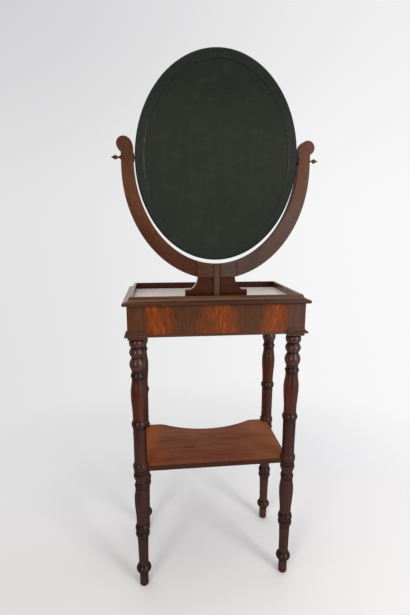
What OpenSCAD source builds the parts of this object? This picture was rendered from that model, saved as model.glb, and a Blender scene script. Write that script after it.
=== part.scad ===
// Free-standing shaving stand: a frieze box with a drawer and a rimmed tray on four
// turned legs, a shelf below, and an oval swing mirror in a yoke that slides up and down.
// Origin: on the floor under the middle of the tray. +Z up, +X right seen from behind,
// +Y towards the person who uses the stand. Millimetres.

/* [Tray] */
// Width of the tray over its lip
top_w = 502; // [440:2:560]
// Depth of the tray over its lip
top_d = 316; // [290:2:350]
// Height of the tray floor above the ground
tray_floor_z = 869; // [840:1:910]
// How far the tray's board stands above the heads and the rails
board_rise = 4; // [2:0.5:5]
// How far the lip of the tray stands out past the frieze
overhang = 12; // [10:0.5:15]
// Height of the tray's rim above its floor
rim_h = 18.5; // [15:0.5:24]
// Width of the rim moulding
rim_w = 26; // [22:0.5:30]
// Width of the flat on top of the rim
rim_flat = 7.8; // [5:0.2:10]
// Thickness of the rounded lip
lip_h = 10; // [5:0.5:12]
// Thickness of the board that is the tray's floor
board_t = 9; // [7:0.5:11]
// How far the board's edge stays behind the frieze's face
board_inset = 8; // [6:0.5:10]

/* [Frieze] */
// Height of the frieze
frieze_h = 85; // [78:1:100]
// Side of the square head of each leg
head_sq = 46; // [43:1:50]
// How far each square head reaches below the frieze
head_drop = 6; // [4:1:14]
// Thickness of the frieze rails
rail_t = 18; // [16:0.5:20]
// Thickness of the saw-cut veneer
veneer_t = 1.5; // [1:0.1:2.5]
// How far the panels lie behind the faces of the heads
panel_set = 1; // [0.6:0.1:1.6]
// Height of the bead under each panel
bead_h = 8; // [3:0.5:10]
// Height of the moulding round each head
head_mould_h = 17; // [13:0.5:28]
// How far that moulding stands out
head_mould_out = 8; // [5:0.5:9]
// Thickness of the rails' tenons
tenon_t = 10; // [7:0.5:11]
// Length of the rails' tenons
tenon_l = 15; // [10:0.5:18]

/* [Drawer] */
// Height of the rail under the drawer
low_rail_h = 14; // [12:0.5:18]
// Height of the rail over the drawer
high_rail_h = 18; // [16:0.5:22]
// Depth of both drawer rails, front to back
drawer_rail_d = 30; // [27:1:34]
// Gap between the drawer's back and the sliding post
drawer_to_post = 22.5; // [12:0.5:50]
// Thickness of the drawer front without its veneer
drawer_front_t = 16.5; // [14:0.5:19]
// Thickness of the drawer sides and back
drawer_side_t = 8; // [6:0.5:10]
// Thickness of the drawer bottom
drawer_floor_t = 5; // [4:0.5:7]
// Depth of the groove that holds the drawer bottom
groove_d = 4; // [3:0.5:5]
// Width of the bead round the drawer front
cock_w = 3; // [2:0.5:4]
// Diameter of the drawer knobs
knob_d = 14; // [11:0.5:18]
// Distance between the two knobs
knob_span = 230; // [180:5:280]

/* [Legs] */
// Diameter of the necks between the lobes at the top of a leg
neck_d = 31; // [29:0.5:33]
// Diameter of the lobes
lobe_d = 43; // [41:0.5:46]
// Diameter of the swellings of both balusters
baluster_d = 43; // [41:0.5:45]
// Diameter of the shaft between the middle ring and the shelf
shaft_d = 36.2; // [34:0.2:38]
// Diameter of the middle ring
mid_ring_d = 44; // [42:0.5:48]
// Length of the upper baluster
upper_baluster_l = 122; // [100:1:150]
// Length of the lower baluster
lower_baluster_l = 118; // [95:1:138]
// Diameter of the drum that carries the shelf
drum_d = 43.4; // [42:0.2:46]
// Diameter at the top of the tapered lower shaft
lower_shaft_d = 32.2; // [29:0.2:34]
// Diameter at the bottom of the tapered lower shaft
ankle_d = 28.4; // [26:0.2:30]
// Diameter of the bead above the foot
foot_bead_d = 43.6; // [40:0.2:48]
// Diameter of the peg foot
foot_d = 25.7; // [22:0.1:28]
// Height of the peg foot
foot_h = 41; // [34:1:50]
// Diameter of the flat on which the foot stands
foot_flat_d = 18; // [14:0.5:20]

/* [Shelf] */
// Height of the shelf's upper face above the ground
shelf_z = 396; // [380:1:420]
// Thickness of the shelf
shelf_t = 17; // [14:0.5:19]
// How far the shelf's rear edge stands out past the middle of the legs
shelf_out = 5; // [2:0.5:7]
// Depth of the hollow in the shelf's front edge
bay_d = 47; // [30:1:60]
// Straight length of the front edge beside each leg
bay_shoulder = 52; // [36:1:64]
// Radius of the curve by which the hollow runs out into the straight edge
bay_ease = 45; // [10:1:80]
// Radius of the round on the shelf's straight edges
shelf_round = 5; // [3:0.5:6]

/* [Mirror] */
// Half width of the oval mirror
mirror_a = 208.5; // [195:0.5:215]
// Half height of the oval mirror
mirror_b = 254.5; // [235:0.5:270]
// Thickness of the mirror frame
frame_t = 20; // [18:0.5:22]
// Width of the mirror frame
frame_w = 34; // [32:0.5:40]
// How far the back board's edge lies inside the frame's edge
back_inset = 25; // [22:0.5:26]
// Thickness of the back board
back_t = 5.5; // [4:0.5:6.5]
// Thickness of the silvered glass
glass_t = 4; // [3:0.5:5]
// Height of the pivots above the middle of the oval
pivot_above = 3.5; // [1:0.5:8]
// Lean of the mirror at rest, its top to the rear
rest_tilt = 4.7; // [0:0.1:12]

/* [Yoke] */
// Thickness of the yoke
yoke_t = 24; // [22:0.5:28]
// Distance of the yoke's middle from the tray's rear lip
yoke_from_rear = 60; // [58:0.5:68]
// Gap between the mirror and each arm
arm_gap = 3.5; // [3.5:0.5:8]
// Gap between the mirror and the bottom of the yoke
bottom_gap = 8.5; // [8:0.5:18]
// Width of the arms beside the mirror
arm_w = 30; // [26:0.5:33]
// Height of the yoke over its seat
yoke_foot_h = 34; // [30:0.5:38]
// How far the middle of the outer curve lies below the middle of the inner one
outer_drop = 21; // [17:0.5:26]
// Half length of the yoke's middle block
block_half = 54; // [52:0.5:60]
// Radius of the round head of each arm
scroll_r = 18; // [16:0.5:21]
// How far each round head stands out past its arm
scroll_out = 10.5; // [7:0.5:13]
// Height of the round heads' middle above the mirror's middle
scroll_rise = 34.5; // [30:0.5:42]
// Height of the shoulder that rounds each arm's inner edge over to its head
shoulder_h = 26; // [20:0.5:32]

/* [Bracket and post] */
// Height of the bracket
bracket_h = 65.5; // [60:0.5:80]
// Half width of the bracket at its top
bracket_top = 50.5; // [44:0.5:51]
// Half width of the bracket at its foot
bracket_foot = 84.5; // [78:0.5:96]
// Height of the bracket's toes
toe_h = 28.5; // [22:0.5:34]
// How far the bracket's rear face lies behind the yoke's
bracket_recess = 5.5; // [3:0.5:6]
// Width of the sliding post where it shows
post_w = 16; // [14:0.5:18]
// Extra width of the post's dovetail
dovetail_w = 6; // [4:0.5:8]
// Depth of the dovetail
dovetail_d = 10.5; // [9:0.5:11]
// How far the post reaches below the tray board
post_below = 67; // [60:0.5:68]
// Diameter of the clamp screw's knob
clamp_knob_d = 20; // [16:0.5:24]

/* [Fits] */
// Running clearance beside the sliding post and round the drawer
slide_gap = 0.3; // [0.2:0.05:0.5]
// Running clearance round a screw or pivot, on the radius
pivot_gap = 0.05; // [0.02:0.01:0.09]
// Clearance of a glued joint
glue_gap = 0.05; // [0.03:0.01:0.08]

/* [Hidden] */
$fn = 64;

mahogany = [0.35, 0.17, 0.10];
dark_mahogany = [0.28, 0.14, 0.10];
flame = [0.50, 0.25, 0.12];
shelf_wood = [0.42, 0.24, 0.17];
drawer_wood = [0.62, 0.48, 0.33];
brass = [0.70, 0.54, 0.28];
iron = [0.20, 0.18, 0.17];
back_green = [0.19, 0.20, 0.17];
silver = [0.80, 0.82, 0.84];
paper = [0.70, 0.66, 0.58];

eps = 0.01;
case_x = top_w / 2 - overhang;
case_y = top_d / 2 - overhang;
leg_x = case_x - head_sq / 2;
leg_y = case_y - head_sq / 2;
inner_x = case_x - head_sq;
inner_y = case_y - head_sq;
// Top of the heads and rails, on which the rim lies
case_top = tray_floor_z - board_rise;
frieze_z = case_top - frieze_h;
head_z = frieze_z - head_drop;
board_z = tray_floor_z - board_t;
skin = panel_set + veneer_t;
rail_in_x = case_x - skin - rail_t;
rail_in_y = case_y - skin - rail_t;

// ---- shared shapes -------------------------------------------------------------

// A profile's x runs outwards along +Y, its y runs up, and it is drawn along X from x0.
module along_x(x0, length) {
    translate([x0, 0, 0]) rotate([90, 0, 90]) linear_extrude(length) children();
}

// A drawing in the X-Z plane, drawn from y0 towards +Y.
module along_y(y0, length) {
    translate([0, y0 + length, 0]) rotate([90, 0, 0]) linear_extrude(length) children();
}

module box(lo, hi) {
    translate(lo) cube(hi - lo);
}

// Copies a shape that is drawn for the right side onto the left.
module both_sides() {
    children();
    mirror([1, 0, 0]) children();
}

// ---- turned profiles -------------------------------------------------------------
// Each function gives [radius, height] points from the top down.

bead_steps = 10;

// A bead that stands out over radii r0 (above) and r1 (below).
function bump(z, h, r0, r1, out) = [
    for (i = [0:bead_steps]) let (f = i / bead_steps)
        [r0 + (r1 - r0) * f + out * sin(180 * f), z - h * f]
];

// A fuller bead, half of an ellipse.
function torus(z, h, r, out) = [
    for (i = [0:bead_steps]) let (a = 180 * i / bead_steps)
        [r + out * sin(a), z - h / 2 + h / 2 * cos(a)]
];

// A smooth change from radius r0 to r1.
function swell(z0, z1, r0, r1) = [
    for (i = [0:bead_steps]) let (f = i / bead_steps)
        [r0 + (r1 - r0) * (1 - cos(180 * f)) / 2, z0 + (z1 - z0) * f]
];

neck_r = neck_d / 2;
lobe_r = lobe_d / 2;
belly_r = baluster_d / 2;
shaft_r = shaft_d / 2;
drum_r = drum_d / 2;
calf_r = lower_shaft_d / 2;
ankle_r = ankle_d / 2;
foot_r = foot_d / 2;
// The narrow places between the rings and the balusters
waist_r = 17;
ring_out = 2.7;
// How deep the band behind the shelf lies in its drum
band_in = 2;
foot_round = 5;
// Heights at which the turned stretches begin, from the head down
lobe1_z = head_z - 25;
lobe2_z = head_z - 53.5;
waist_z = lobe2_z - 42;
ring1_z = waist_z - 2.5;
upper_z = ring1_z - 15.5;
mid_ring_z = upper_z - upper_baluster_l;
under_z = shelf_z - shelf_t - 2;
small_ring_z = under_z - 31.5;
lower_z = small_ring_z - 17;
ring_a_z = lower_z - lower_baluster_l;
ring_b_z = ring_a_z - 23;
calf_z = ring_b_z - 24;
ankle_z = foot_h + 47;

function leg_profile() = concat(
    [[0, head_z + 1], [neck_r + 3, head_z + 1]],
    torus(head_z - 1, 23, neck_r + 0.4, lobe_r - neck_r - 0.3),
    bump(lobe1_z, 28, neck_r + 0.3, neck_r, lobe_r - neck_r),
    bump(lobe2_z, 35.5, neck_r, waist_r + 0.3, lobe_r + 0.6 - (neck_r + waist_r) / 2),
    [[waist_r - 0.2, waist_z]],
    bump(ring1_z, 13.5, waist_r + 0.2, waist_r + 0.5, ring_out),
    swell(upper_z, upper_z - 42, waist_r + 0.4, belly_r),
    swell(upper_z - 45, mid_ring_z + 12, belly_r, shaft_r),
    bump(mid_ring_z, 22, shaft_r, shaft_r + 0.3, mid_ring_d / 2 - shaft_r),
    [[shaft_r + 0.4, mid_ring_z - 37], [shaft_r, mid_ring_z - 70], [shaft_r - 0.1, shelf_z + 21]],
    [for (a = [0:15:75]) [drum_r - (drum_r - shaft_r) * cos(a), shelf_z + 18 - 11 * sin(a)]],
    [[drum_r, shelf_z + 6], [drum_r, shelf_z - 4], [drum_r - 0.6, shelf_z - 6],
     [drum_r - band_in, shelf_z - 9.5], [drum_r - band_in, under_z - 1], [belly_r - 0.9, under_z - 5]],
    swell(under_z - 8, under_z - 28, belly_r - 0.1, waist_r - 0.6),
    bump(small_ring_z, 16.5, waist_r - 0.5, waist_r + 0.3, ring_out - 0.4),
    swell(lower_z, lower_z - 36, waist_r + 0.4, belly_r - 0.5),
    swell(lower_z - 39, ring_a_z + 3, belly_r - 0.5, waist_r - 0.2),
    bump(ring_a_z, 22, waist_r - 0.1, waist_r + 1.8, ring_out + 0.6),
    bump(ring_b_z - 0.5, 20, waist_r + 1.8, calf_r + 0.4, ring_out + 0.3),
    [[calf_r, calf_z], [(calf_r + ankle_r) / 2 + 0.1, calf_z - 22], [ankle_r, ankle_z]],
    bump(foot_h + 31, 28.5, ankle_r, foot_r + 0.5, foot_bead_d / 2 - (ankle_r + foot_r) / 2),
    [[foot_r + 0.2, foot_h - 2.5], [foot_r, foot_h - 8]],
    [for (a = [0:15:90]) [foot_flat_d / 2 + (foot_r - foot_flat_d / 2) * cos(a),
        foot_round * (1 - sin(a))]],
    [[0, 0]]
);

// ---- legs ---------------------------------------------------------------------
// A leg is drawn at its own axis with its outer faces towards +X and +Y, then mirrored.

half_sq = head_sq / 2;
tenon_mid = half_sq - skin - rail_t / 2;
mortise_gap = 0.1;
rail_tenon_lo = frieze_z + 10;
rail_tenon_hi = board_z - 7;
drawer_tenon_w = 16;
drawer_tenon_mid = half_sq - panel_set - drawer_rail_d / 2;
low_tenon = [frieze_z + 3, frieze_z + low_rail_h - 3];
high_rail_z = case_top - high_rail_h;
high_tenon = [high_rail_z + 1.5, board_z - 1.5];

// The hole for a tenon that enters the head from its inner X face.
module mortise(mid, width, z0, z1) {
    box([-half_sq - 1, mid - width / 2 - mortise_gap, z0 - mortise_gap],
        [-half_sq + tenon_l + 1, mid + width / 2 + mortise_gap, z1 + mortise_gap]);
}

module swap_xy() {
    mirror([1, -1, 0]) children();
}

shelf_dowel_r = 4;
shelf_dowel_in_leg = 12;
shelf_dowel_in_shelf = 26;

// The shelf's dowel in its leg's own coordinates, along the diagonal of the corner.
module shelf_dowel_shape(gap) {
    translate([0, 0, shelf_z - shelf_t / 2]) rotate([0, 0, 225]) rotate([0, 90, 0])
        translate([0, 0, -shelf_dowel_in_leg - gap])
            cylinder(h = shelf_dowel_in_leg + shelf_dowel_in_shelf + 2 * gap,
                r = shelf_dowel_r + gap, $fn = 32);
}

module leg(sx, sy) {
    front = sy > 0;
    translate([sx * leg_x, sy * leg_y, 0]) scale_sign(sx, sy) difference() {
        union() {
            rotate_extrude() polygon(leg_profile());
            box([-half_sq, -half_sq, head_z], [half_sq, half_sq, case_top]);
        }
        // seat of the tray board
        box([-half_sq - 1, -half_sq - 1, board_z],
            [half_sq - board_inset + glue_gap, half_sq - board_inset + glue_gap, tray_floor_z + 1]);
        // housing of the shelf's corner
        box([-drum_d, -drum_d, shelf_z - shelf_t], [0, front ? 0 : shelf_out, shelf_z]);
        // mortises
        swap_xy() mortise(tenon_mid, tenon_t, rail_tenon_lo, rail_tenon_hi);
        if (front) {
            mortise(drawer_tenon_mid, drawer_tenon_w, low_tenon[0], low_tenon[1]);
            mortise(drawer_tenon_mid, drawer_tenon_w, high_tenon[0], high_tenon[1]);
        } else {
            mortise(tenon_mid, tenon_t, rail_tenon_lo, rail_tenon_hi);
        }
        shelf_dowel_shape(glue_gap);
    }
}

module scale_sign(sx, sy) {
    mirror([sx < 0 ? 1 : 0, 0, 0]) mirror([0, sy < 0 ? 1 : 0, 0]) children();
}

module leg_rear_left() {
    color(mahogany) leg(-1, -1);
}

module leg_rear_right() {
    color(mahogany) leg(1, -1);
}

module leg_front_left() {
    color(mahogany) leg(-1, 1);
}

module leg_front_right() {
    color(mahogany) leg(1, 1);
}

// ---- mouldings round the square heads --------------------------------------------

mould_z = frieze_z + 2;
mould_lip = 4;

// Section of the moulding: a hollow that runs out to a small lip.
module head_mould_section() {
    hollow_h = head_mould_h - mould_lip - 1.5;
    polygon(concat(
        [[0, mould_z], [head_mould_out - 1.5, mould_z], [head_mould_out, mould_z + 1.5],
         [head_mould_out, mould_z + mould_lip]],
        [for (a = [0:10:90])
            [(head_mould_out - 1) * (1 - sin(a)), mould_z + head_mould_h - hollow_h * cos(a)]]
    ));
}

// One strip on the head's +Y face, mitred at the outer corner. Its inner end is
// mitred out over the panel where back is 1, and is square where back is 0.
module head_strip(back) {
    intersection() {
        translate([0, half_sq, 0]) along_x(-head_sq, 2 * head_sq) head_mould_section();
        translate([0, 0, mould_z - 1]) linear_extrude(head_mould_h + 2) polygon([
            [-half_sq, half_sq], [half_sq, half_sq],
            [half_sq + head_mould_out, half_sq + head_mould_out],
            [-half_sq - back * head_mould_out, half_sq + head_mould_out]
        ]);
    }
}

module head_mouldings(sy) {
    color(dark_mahogany) for (sx = [-1, 1])
        translate([sx * leg_x, sy * leg_y, 0]) scale_sign(sx, sy) {
            head_strip(sy < 0 ? 1 : 0);
            swap_xy() head_strip(1);
        }
}

module head_mouldings_rear() {
    head_mouldings(-1);
}

module head_mouldings_front() {
    head_mouldings(1);
}

// ---- frieze -------------------------------------------------------------------

// A rail on the +Y side between two heads, with its tenons and the seat of the board.
module rail(half_len, face, inside) {
    difference() {
        union() {
            box([-half_len, inside, frieze_z], [half_len, face - skin, case_top]);
            box([-half_len - tenon_l, inside + (rail_t - tenon_t) / 2, rail_tenon_lo],
                [half_len + tenon_l, inside + (rail_t + tenon_t) / 2, rail_tenon_hi]);
        }
        box([-half_len - 1, inside - 1, board_z],
            [half_len + 1, face - board_inset + glue_gap, tray_floor_z + 1]);
    }
}

module rear_rail() {
    color(drawer_wood) mirror([0, 1, 0]) rail(inner_x, case_y, rail_in_y);
}

module side_rail() {
    color(drawer_wood) swap_xy() rail(inner_y, case_x, rail_in_x);
}

module left_rail() {
    mirror([1, 0, 0]) side_rail();
}

module right_rail() {
    side_rail();
}

// A panel of veneer on the +Y side.
module panel(half_len, face) {
    box([-half_len + glue_gap, face - skin, frieze_z + bead_h],
        [half_len - glue_gap, face - panel_set, case_top - glue_gap]);
}

module rear_veneer() {
    color(flame) mirror([0, 1, 0]) panel(inner_x, case_y);
}

module left_veneer() {
    color(mahogany) mirror([1, 0, 0]) swap_xy() panel(inner_y, case_x);
}

module right_veneer() {
    color(mahogany) swap_xy() panel(inner_y, case_x);
}

// The bead along the bottom edge of one side of the frieze, on the +Y side.
module frieze_bead(half_len, face) {
    depth = skin;
    along_x(-half_len + glue_gap, 2 * (half_len - glue_gap)) translate([face - depth, frieze_z])
        polygon(concat([[0, 0], [0, bead_h - glue_gap]],
            [for (a = [90:-18:-90]) [depth - bead_h / 4 + bead_h / 4 * cos(a),
                bead_h / 2 - glue_gap / 2 + (bead_h - glue_gap) / 2 * sin(a)]]));
}

module frieze_beads() {
    color(dark_mahogany) {
        frieze_bead(inner_x, case_y);
        mirror([0, 1, 0]) frieze_bead(inner_x, case_y);
        both_sides() swap_xy() frieze_bead(inner_y, case_x);
    }
}

rail_back_y = case_y - panel_set - drawer_rail_d;

// The two rails over and under the drawer.
module drawer_rail_upper() {
    color(mahogany) difference() {
        union() {
            box([-inner_x, rail_back_y, high_rail_z], [inner_x, case_y - panel_set, case_top]);
            box([-inner_x - tenon_l, leg_y + drawer_tenon_mid - drawer_tenon_w / 2, high_tenon[0]],
                [inner_x + tenon_l, leg_y + drawer_tenon_mid + drawer_tenon_w / 2, high_tenon[1]]);
        }
        box([-inner_x - 1, rail_back_y - 1, board_z],
            [inner_x + 1, case_y - board_inset + glue_gap, tray_floor_z + 1]);
    }
}

module drawer_rail_lower() {
    color(mahogany) difference() {
        union() {
            box([-inner_x, rail_back_y, frieze_z],
                [inner_x, case_y - panel_set, frieze_z + low_rail_h]);
            box([-inner_x - tenon_l, leg_y + drawer_tenon_mid - drawer_tenon_w / 2, low_tenon[0]],
                [inner_x + tenon_l, leg_y + drawer_tenon_mid + drawer_tenon_w / 2, low_tenon[1]]);
        }
        box([-inner_x - 1, case_y - skin, frieze_z - 1],
            [inner_x + 1, case_y, frieze_z + bead_h + eps]);
    }
}

// ---- drawer's bearers inside the frieze ---------------------------------------------

opening_z0 = frieze_z + low_rail_h;
opening_z1 = high_rail_z;
runner_w = 16;
runner_t = 12;
kicker_t = board_z - opening_z1;

// Plan of a runner: along the drawer's side and out to the side rail between the heads.
module bearer_plan() {
    polygon([
        [inner_x - runner_w, -rail_in_y], [inner_x, -rail_in_y], [inner_x, -inner_y],
        [rail_in_x, -inner_y], [rail_in_x, inner_y], [inner_x, inner_y],
        [inner_x, rail_back_y], [inner_x - runner_w, rail_back_y]
    ]);
}

module drawer_runners() {
    color(drawer_wood) both_sides() translate([0, 0, opening_z0 - runner_t])
        linear_extrude(runner_t) bearer_plan();
}

module drawer_kickers() {
    color(drawer_wood) both_sides() translate([0, 0, opening_z1])
        linear_extrude(kicker_t) bearer_plan();
}

guide_h = 24;

module drawer_guides() {
    color(drawer_wood) both_sides()
        box([inner_x, -inner_y + glue_gap, opening_z0],
            [rail_in_x, inner_y - glue_gap, opening_z0 + guide_h]);
}

drawer_face_y = case_y - skin;
drawer_front_back = drawer_face_y - drawer_front_t;
drawer_under = 4.5;
stop_l = 30;
stop_x = 100;

module drawer_stops() {
    color(drawer_wood) both_sides()
        box([stop_x - stop_l / 2, rail_back_y + 2, opening_z0],
            [stop_x + stop_l / 2, drawer_front_back - slide_gap, opening_z0 + drawer_under - 1]);
}

glue_block = 15;
glue_block_l = 30;
glue_block_edge = 3;
// Middles of the inner and the outer blocks
glue_block_x = [inner_x / 3, inner_x - runner_w - glue_block_l];

module glue_blocks() {
    color(drawer_wood) both_sides() for (x = glue_block_x)
        mirror([0, 1, 0]) translate([0, rail_in_y, board_z]) along_x(x - glue_block_l / 2, glue_block_l)
            polygon([[0, 0], [-glue_block, 0], [-glue_block, -glue_block_edge],
                [-glue_block_edge, -glue_block], [0, -glue_block]]);
}

// ---- tray ---------------------------------------------------------------------

yoke_y = -top_d / 2 + yoke_from_rear;
yoke_rear = yoke_y - yoke_t / 2;
yoke_front = yoke_y + yoke_t / 2;
bracket_rear = yoke_rear + bracket_recess;

// Plan of the sliding post, grown by a gap for its grooves.
module post_plan(gap) {
    w = post_w / 2 + gap;
    d = w + dovetail_w / 2;
    polygon([
        [-w, yoke_rear - gap], [w, yoke_rear - gap], [w, bracket_rear],
        [d, bracket_rear + dovetail_d + gap], [-d, bracket_rear + dovetail_d + gap],
        [-w, bracket_rear]
    ]);
}

module tray_board() {
    x = case_x - board_inset;
    y = case_y - board_inset;
    color(shelf_wood) difference() {
        box([-x, -y, board_z], [x, y, tray_floor_z]);
        translate([0, 0, board_z - 1]) linear_extrude(board_t + 2) post_plan(slide_gap);
        bracket_screw_shapes(glue_gap);
    }
}

rim_top = rim_h + board_rise;

// Section of the rim moulding: a rounded lip, a hollow, a flat top and a rebate over the
// board. x runs inwards from the lip, y up from the top of the rails.
module rim_section() {
    nose = lip_h / 2;
    hollow_w = rim_w - rim_flat - nose;
    hollow_h = rim_top - lip_h - 1;
    rebate_x = overhang + board_inset - glue_gap;
    polygon(concat(
        [[rebate_x, 0], [rebate_x, board_rise], [rim_w, board_rise], [rim_w, rim_top - 1],
         [rim_w - 1, rim_top], [rim_w - rim_flat, rim_top]],
        [for (a = [0:9:90])
            [nose + hollow_w * cos(a), lip_h + hollow_h * (1 - sin(a))]],
        [for (a = [75:-15:-75]) [nose - nose * cos(a), lip_h / 2 + lip_h / 2 * sin(a)]],
        [[nose, 0]]
    ));
}

// A mitred length of rim on the +Y side.
module rim(half_len, edge) {
    intersection() {
        translate([0, edge, case_top]) along_x(-half_len, 2 * half_len) mirror([1, 0])
            rim_section();
        translate([0, 0, case_top - 1]) linear_extrude(rim_top + 2) polygon([
            [-half_len, edge], [half_len, edge],
            [half_len - rim_w, edge - rim_w], [-half_len + rim_w, edge - rim_w]
        ]);
    }
}

module rim_rear() {
    color(mahogany) mirror([0, 1, 0]) rim(top_w / 2, top_d / 2);
}

module rim_front() {
    color(mahogany) rim(top_w / 2, top_d / 2);
}

module rim_left() {
    color(mahogany) mirror([1, 0, 0]) swap_xy() rim(top_d / 2, top_w / 2);
}

module rim_right() {
    color(mahogany) swap_xy() rim(top_d / 2, top_w / 2);
}

// ---- shelf --------------------------------------------------------------------

bay_half = leg_x - bay_shoulder;
bay_r = (bay_half * bay_half + bay_d * bay_d) / (2 * bay_d) - bay_ease;
bay_centre = leg_y - bay_d + bay_r;
// Where the hollow's curve and its easing curve meet, as an angle at both centres
bay_angle = asin(bay_half / (bay_r + bay_ease));

// The right half of the shelf's front edge, from the leg to the middle of the hollow.
function bay_edge() = concat(
    [[leg_x, leg_y]],
    [for (i = [0:12]) let (a = bay_angle * i / 12)
        [bay_half - bay_ease * sin(a), leg_y - bay_ease * (1 - cos(a))]],
    [for (i = [31:-1:0]) let (a = bay_angle * i / 32)
        [bay_r * sin(a), bay_centre - bay_r * cos(a)]]
);

// What a round of radius r takes off an upper edge: x runs outwards, y up.
module round_off(r) {
    polygon(concat(
        [for (a = [0:11.25:90]) [r * (cos(a) - 1), r * (sin(a) - 1)]],
        [[-r, 1], [1, 1], [1, -r]]
    ));
}

module shelf() {
    edge_x = leg_x - drum_r;
    edge_y = leg_y - drum_r;
    rear_y = -leg_y - shelf_out;
    right = bay_edge();
    color(shelf_wood) difference() {
        translate([0, 0, shelf_z - shelf_t]) linear_extrude(shelf_t) polygon(concat(
            [[-leg_x, rear_y], [leg_x, rear_y]], right,
            [for (i = [len(right) - 2:-1:0]) [-right[i][0], right[i][1]]]
        ));
        // rounded straight edges at the rear and the sides, above and below
        for (down = [0, 1]) translate([0, 0, shelf_z - shelf_t / 2]) mirror([0, 0, down])
            translate([0, 0, shelf_t / 2]) {
                translate([0, rear_y, 0]) mirror([0, 1, 0]) along_x(-edge_x, 2 * edge_x)
                    round_off(shelf_round);
                both_sides() swap_xy() translate([0, leg_x, 0]) along_x(-edge_y, 2 * edge_y)
                    round_off(shelf_round);
            }
        for (sx = [-1, 1], sy = [-1, 1]) translate([sx * leg_x, sy * leg_y, 0])
            scale_sign(sx, sy) shelf_dowel_shape(glue_gap);
    }
}

module shelf_dowels() {
    color(drawer_wood) for (sx = [-1, 1], sy = [-1, 1]) translate([sx * leg_x, sy * leg_y, 0])
        scale_sign(sx, sy) shelf_dowel_shape(0);
}

// ---- drawer -------------------------------------------------------------------

drawer_half = inner_x - 2 * slide_gap;
drawer_z0 = opening_z0 + slide_gap;
drawer_z1 = opening_z1 - 2 * slide_gap;
drawer_back_y = bracket_rear + dovetail_d + drawer_to_post;
lap = 10;
floor_z = opening_z0 + drawer_under;
front_groove = 6;

module drawer_front() {
    color(mahogany) difference() {
        box([-drawer_half, drawer_front_back, drawer_z0], [drawer_half, drawer_face_y, drawer_z1]);
        // laps for the sides and groove for the bottom
        both_sides() box([drawer_half - drawer_side_t - glue_gap, drawer_front_back - 1, drawer_z0 - 1],
            [drawer_half + 1, drawer_front_back + lap, drawer_z1 + 1]);
        box([-drawer_half, drawer_front_back - 1, floor_z - glue_gap],
            [drawer_half, drawer_front_back + front_groove, floor_z + drawer_floor_t + glue_gap]);
        // holes for the knobs' pegs
        both_sides() translate([knob_span / 2, 0, knob_z]) rotate([90, 0, 0])
            translate([0, 0, -drawer_face_y - 1])
                cylinder(h = drawer_front_t + 2, r = peg_r + glue_gap, $fn = 32);
    }
}

knob_z = (drawer_z0 + drawer_z1) / 2;
peg_r = 3;

module drawer_front_veneer() {
    color(flame) difference() {
        box([-drawer_half + cock_w, drawer_face_y, drawer_z0 + cock_w],
            [drawer_half - cock_w, drawer_face_y + veneer_t, drawer_z1 - cock_w]);
        both_sides() translate([knob_span / 2, 0, knob_z]) rotate([90, 0, 0])
            translate([0, 0, -case_y]) cylinder(h = skin + 1, r = peg_r + glue_gap, $fn = 32);
    }
}

// One length of the rounded bead round the drawer front, standing on its face.
module cock_bead(length) {
    along_x(0, length) polygon(concat([[0, 0], [0, cock_w]],
        [for (a = [90:-18:-90]) [veneer_t + cock_w / 2 * cos(a), cock_w / 2 + cock_w / 2 * sin(a)]]));
}

module drawer_cock_beads() {
    side_l = drawer_z1 - drawer_z0 - 2 * cock_w;
    color(dark_mahogany) translate([0, drawer_face_y, 0]) {
        for (z = [drawer_z0, drawer_z1 - cock_w])
            translate([-drawer_half, 0, z]) cock_bead(2 * drawer_half);
        both_sides() translate([drawer_half, 0, drawer_z0 + cock_w]) rotate([0, -90, 0])
            cock_bead(side_l);
    }
}

module drawer_side() {
    color(drawer_wood) difference() {
        box([drawer_half - drawer_side_t, drawer_back_y, drawer_z0],
            [drawer_half, drawer_front_back + lap - glue_gap, drawer_z1 - 1]);
        box([drawer_half - drawer_side_t - 1, drawer_back_y - 1, floor_z - glue_gap],
            [drawer_half - drawer_side_t + groove_d, drawer_front_back + lap + 1,
             floor_z + drawer_floor_t + glue_gap]);
    }
}

module drawer_side_left() {
    mirror([1, 0, 0]) drawer_side();
}

module drawer_side_right() {
    drawer_side();
}

module drawer_back() {
    x = drawer_half - drawer_side_t - glue_gap;
    color(drawer_wood) box([-x, drawer_back_y, floor_z + drawer_floor_t + glue_gap],
        [x, drawer_back_y + drawer_side_t, drawer_z1 - 4]);
}

module drawer_bottom() {
    x = drawer_half - drawer_side_t + groove_d - glue_gap;
    color(drawer_wood) box([-x, drawer_back_y, floor_z],
        [x, drawer_front_back + front_groove - glue_gap, floor_z + drawer_floor_t]);
}

knob_r = knob_d / 2;
knob_out = overhang + panel_set;

module drawer_knobs() {
    color(brass) both_sides() translate([knob_span / 2, case_y - panel_set, knob_z])
        rotate([-90, 0, 0]) rotate_extrude($fn = 48) polygon(concat(
            [[0, -drawer_front_t - veneer_t], [peg_r, -drawer_front_t - veneer_t], [peg_r, 0],
             [knob_r * 0.75, 0], [knob_r * 0.75, 1], [knob_r * 0.42, 2.5], [knob_r * 0.42, 4.5]],
            [for (a = [-50:20:90])
                [knob_r * cos(a) + eps, knob_out - (knob_out - 5) / 2 * (1 - sin(a))]],
            [[0, knob_out]]
        ));
}

// ---- bracket and its screws --------------------------------------------------------

bracket_z1 = tray_floor_z + bracket_h;
toe_flat = 3;
bracket_t = yoke_front - bracket_rear;
clamp_z = tray_floor_z + 36;
clamp_r = 3;

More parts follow.
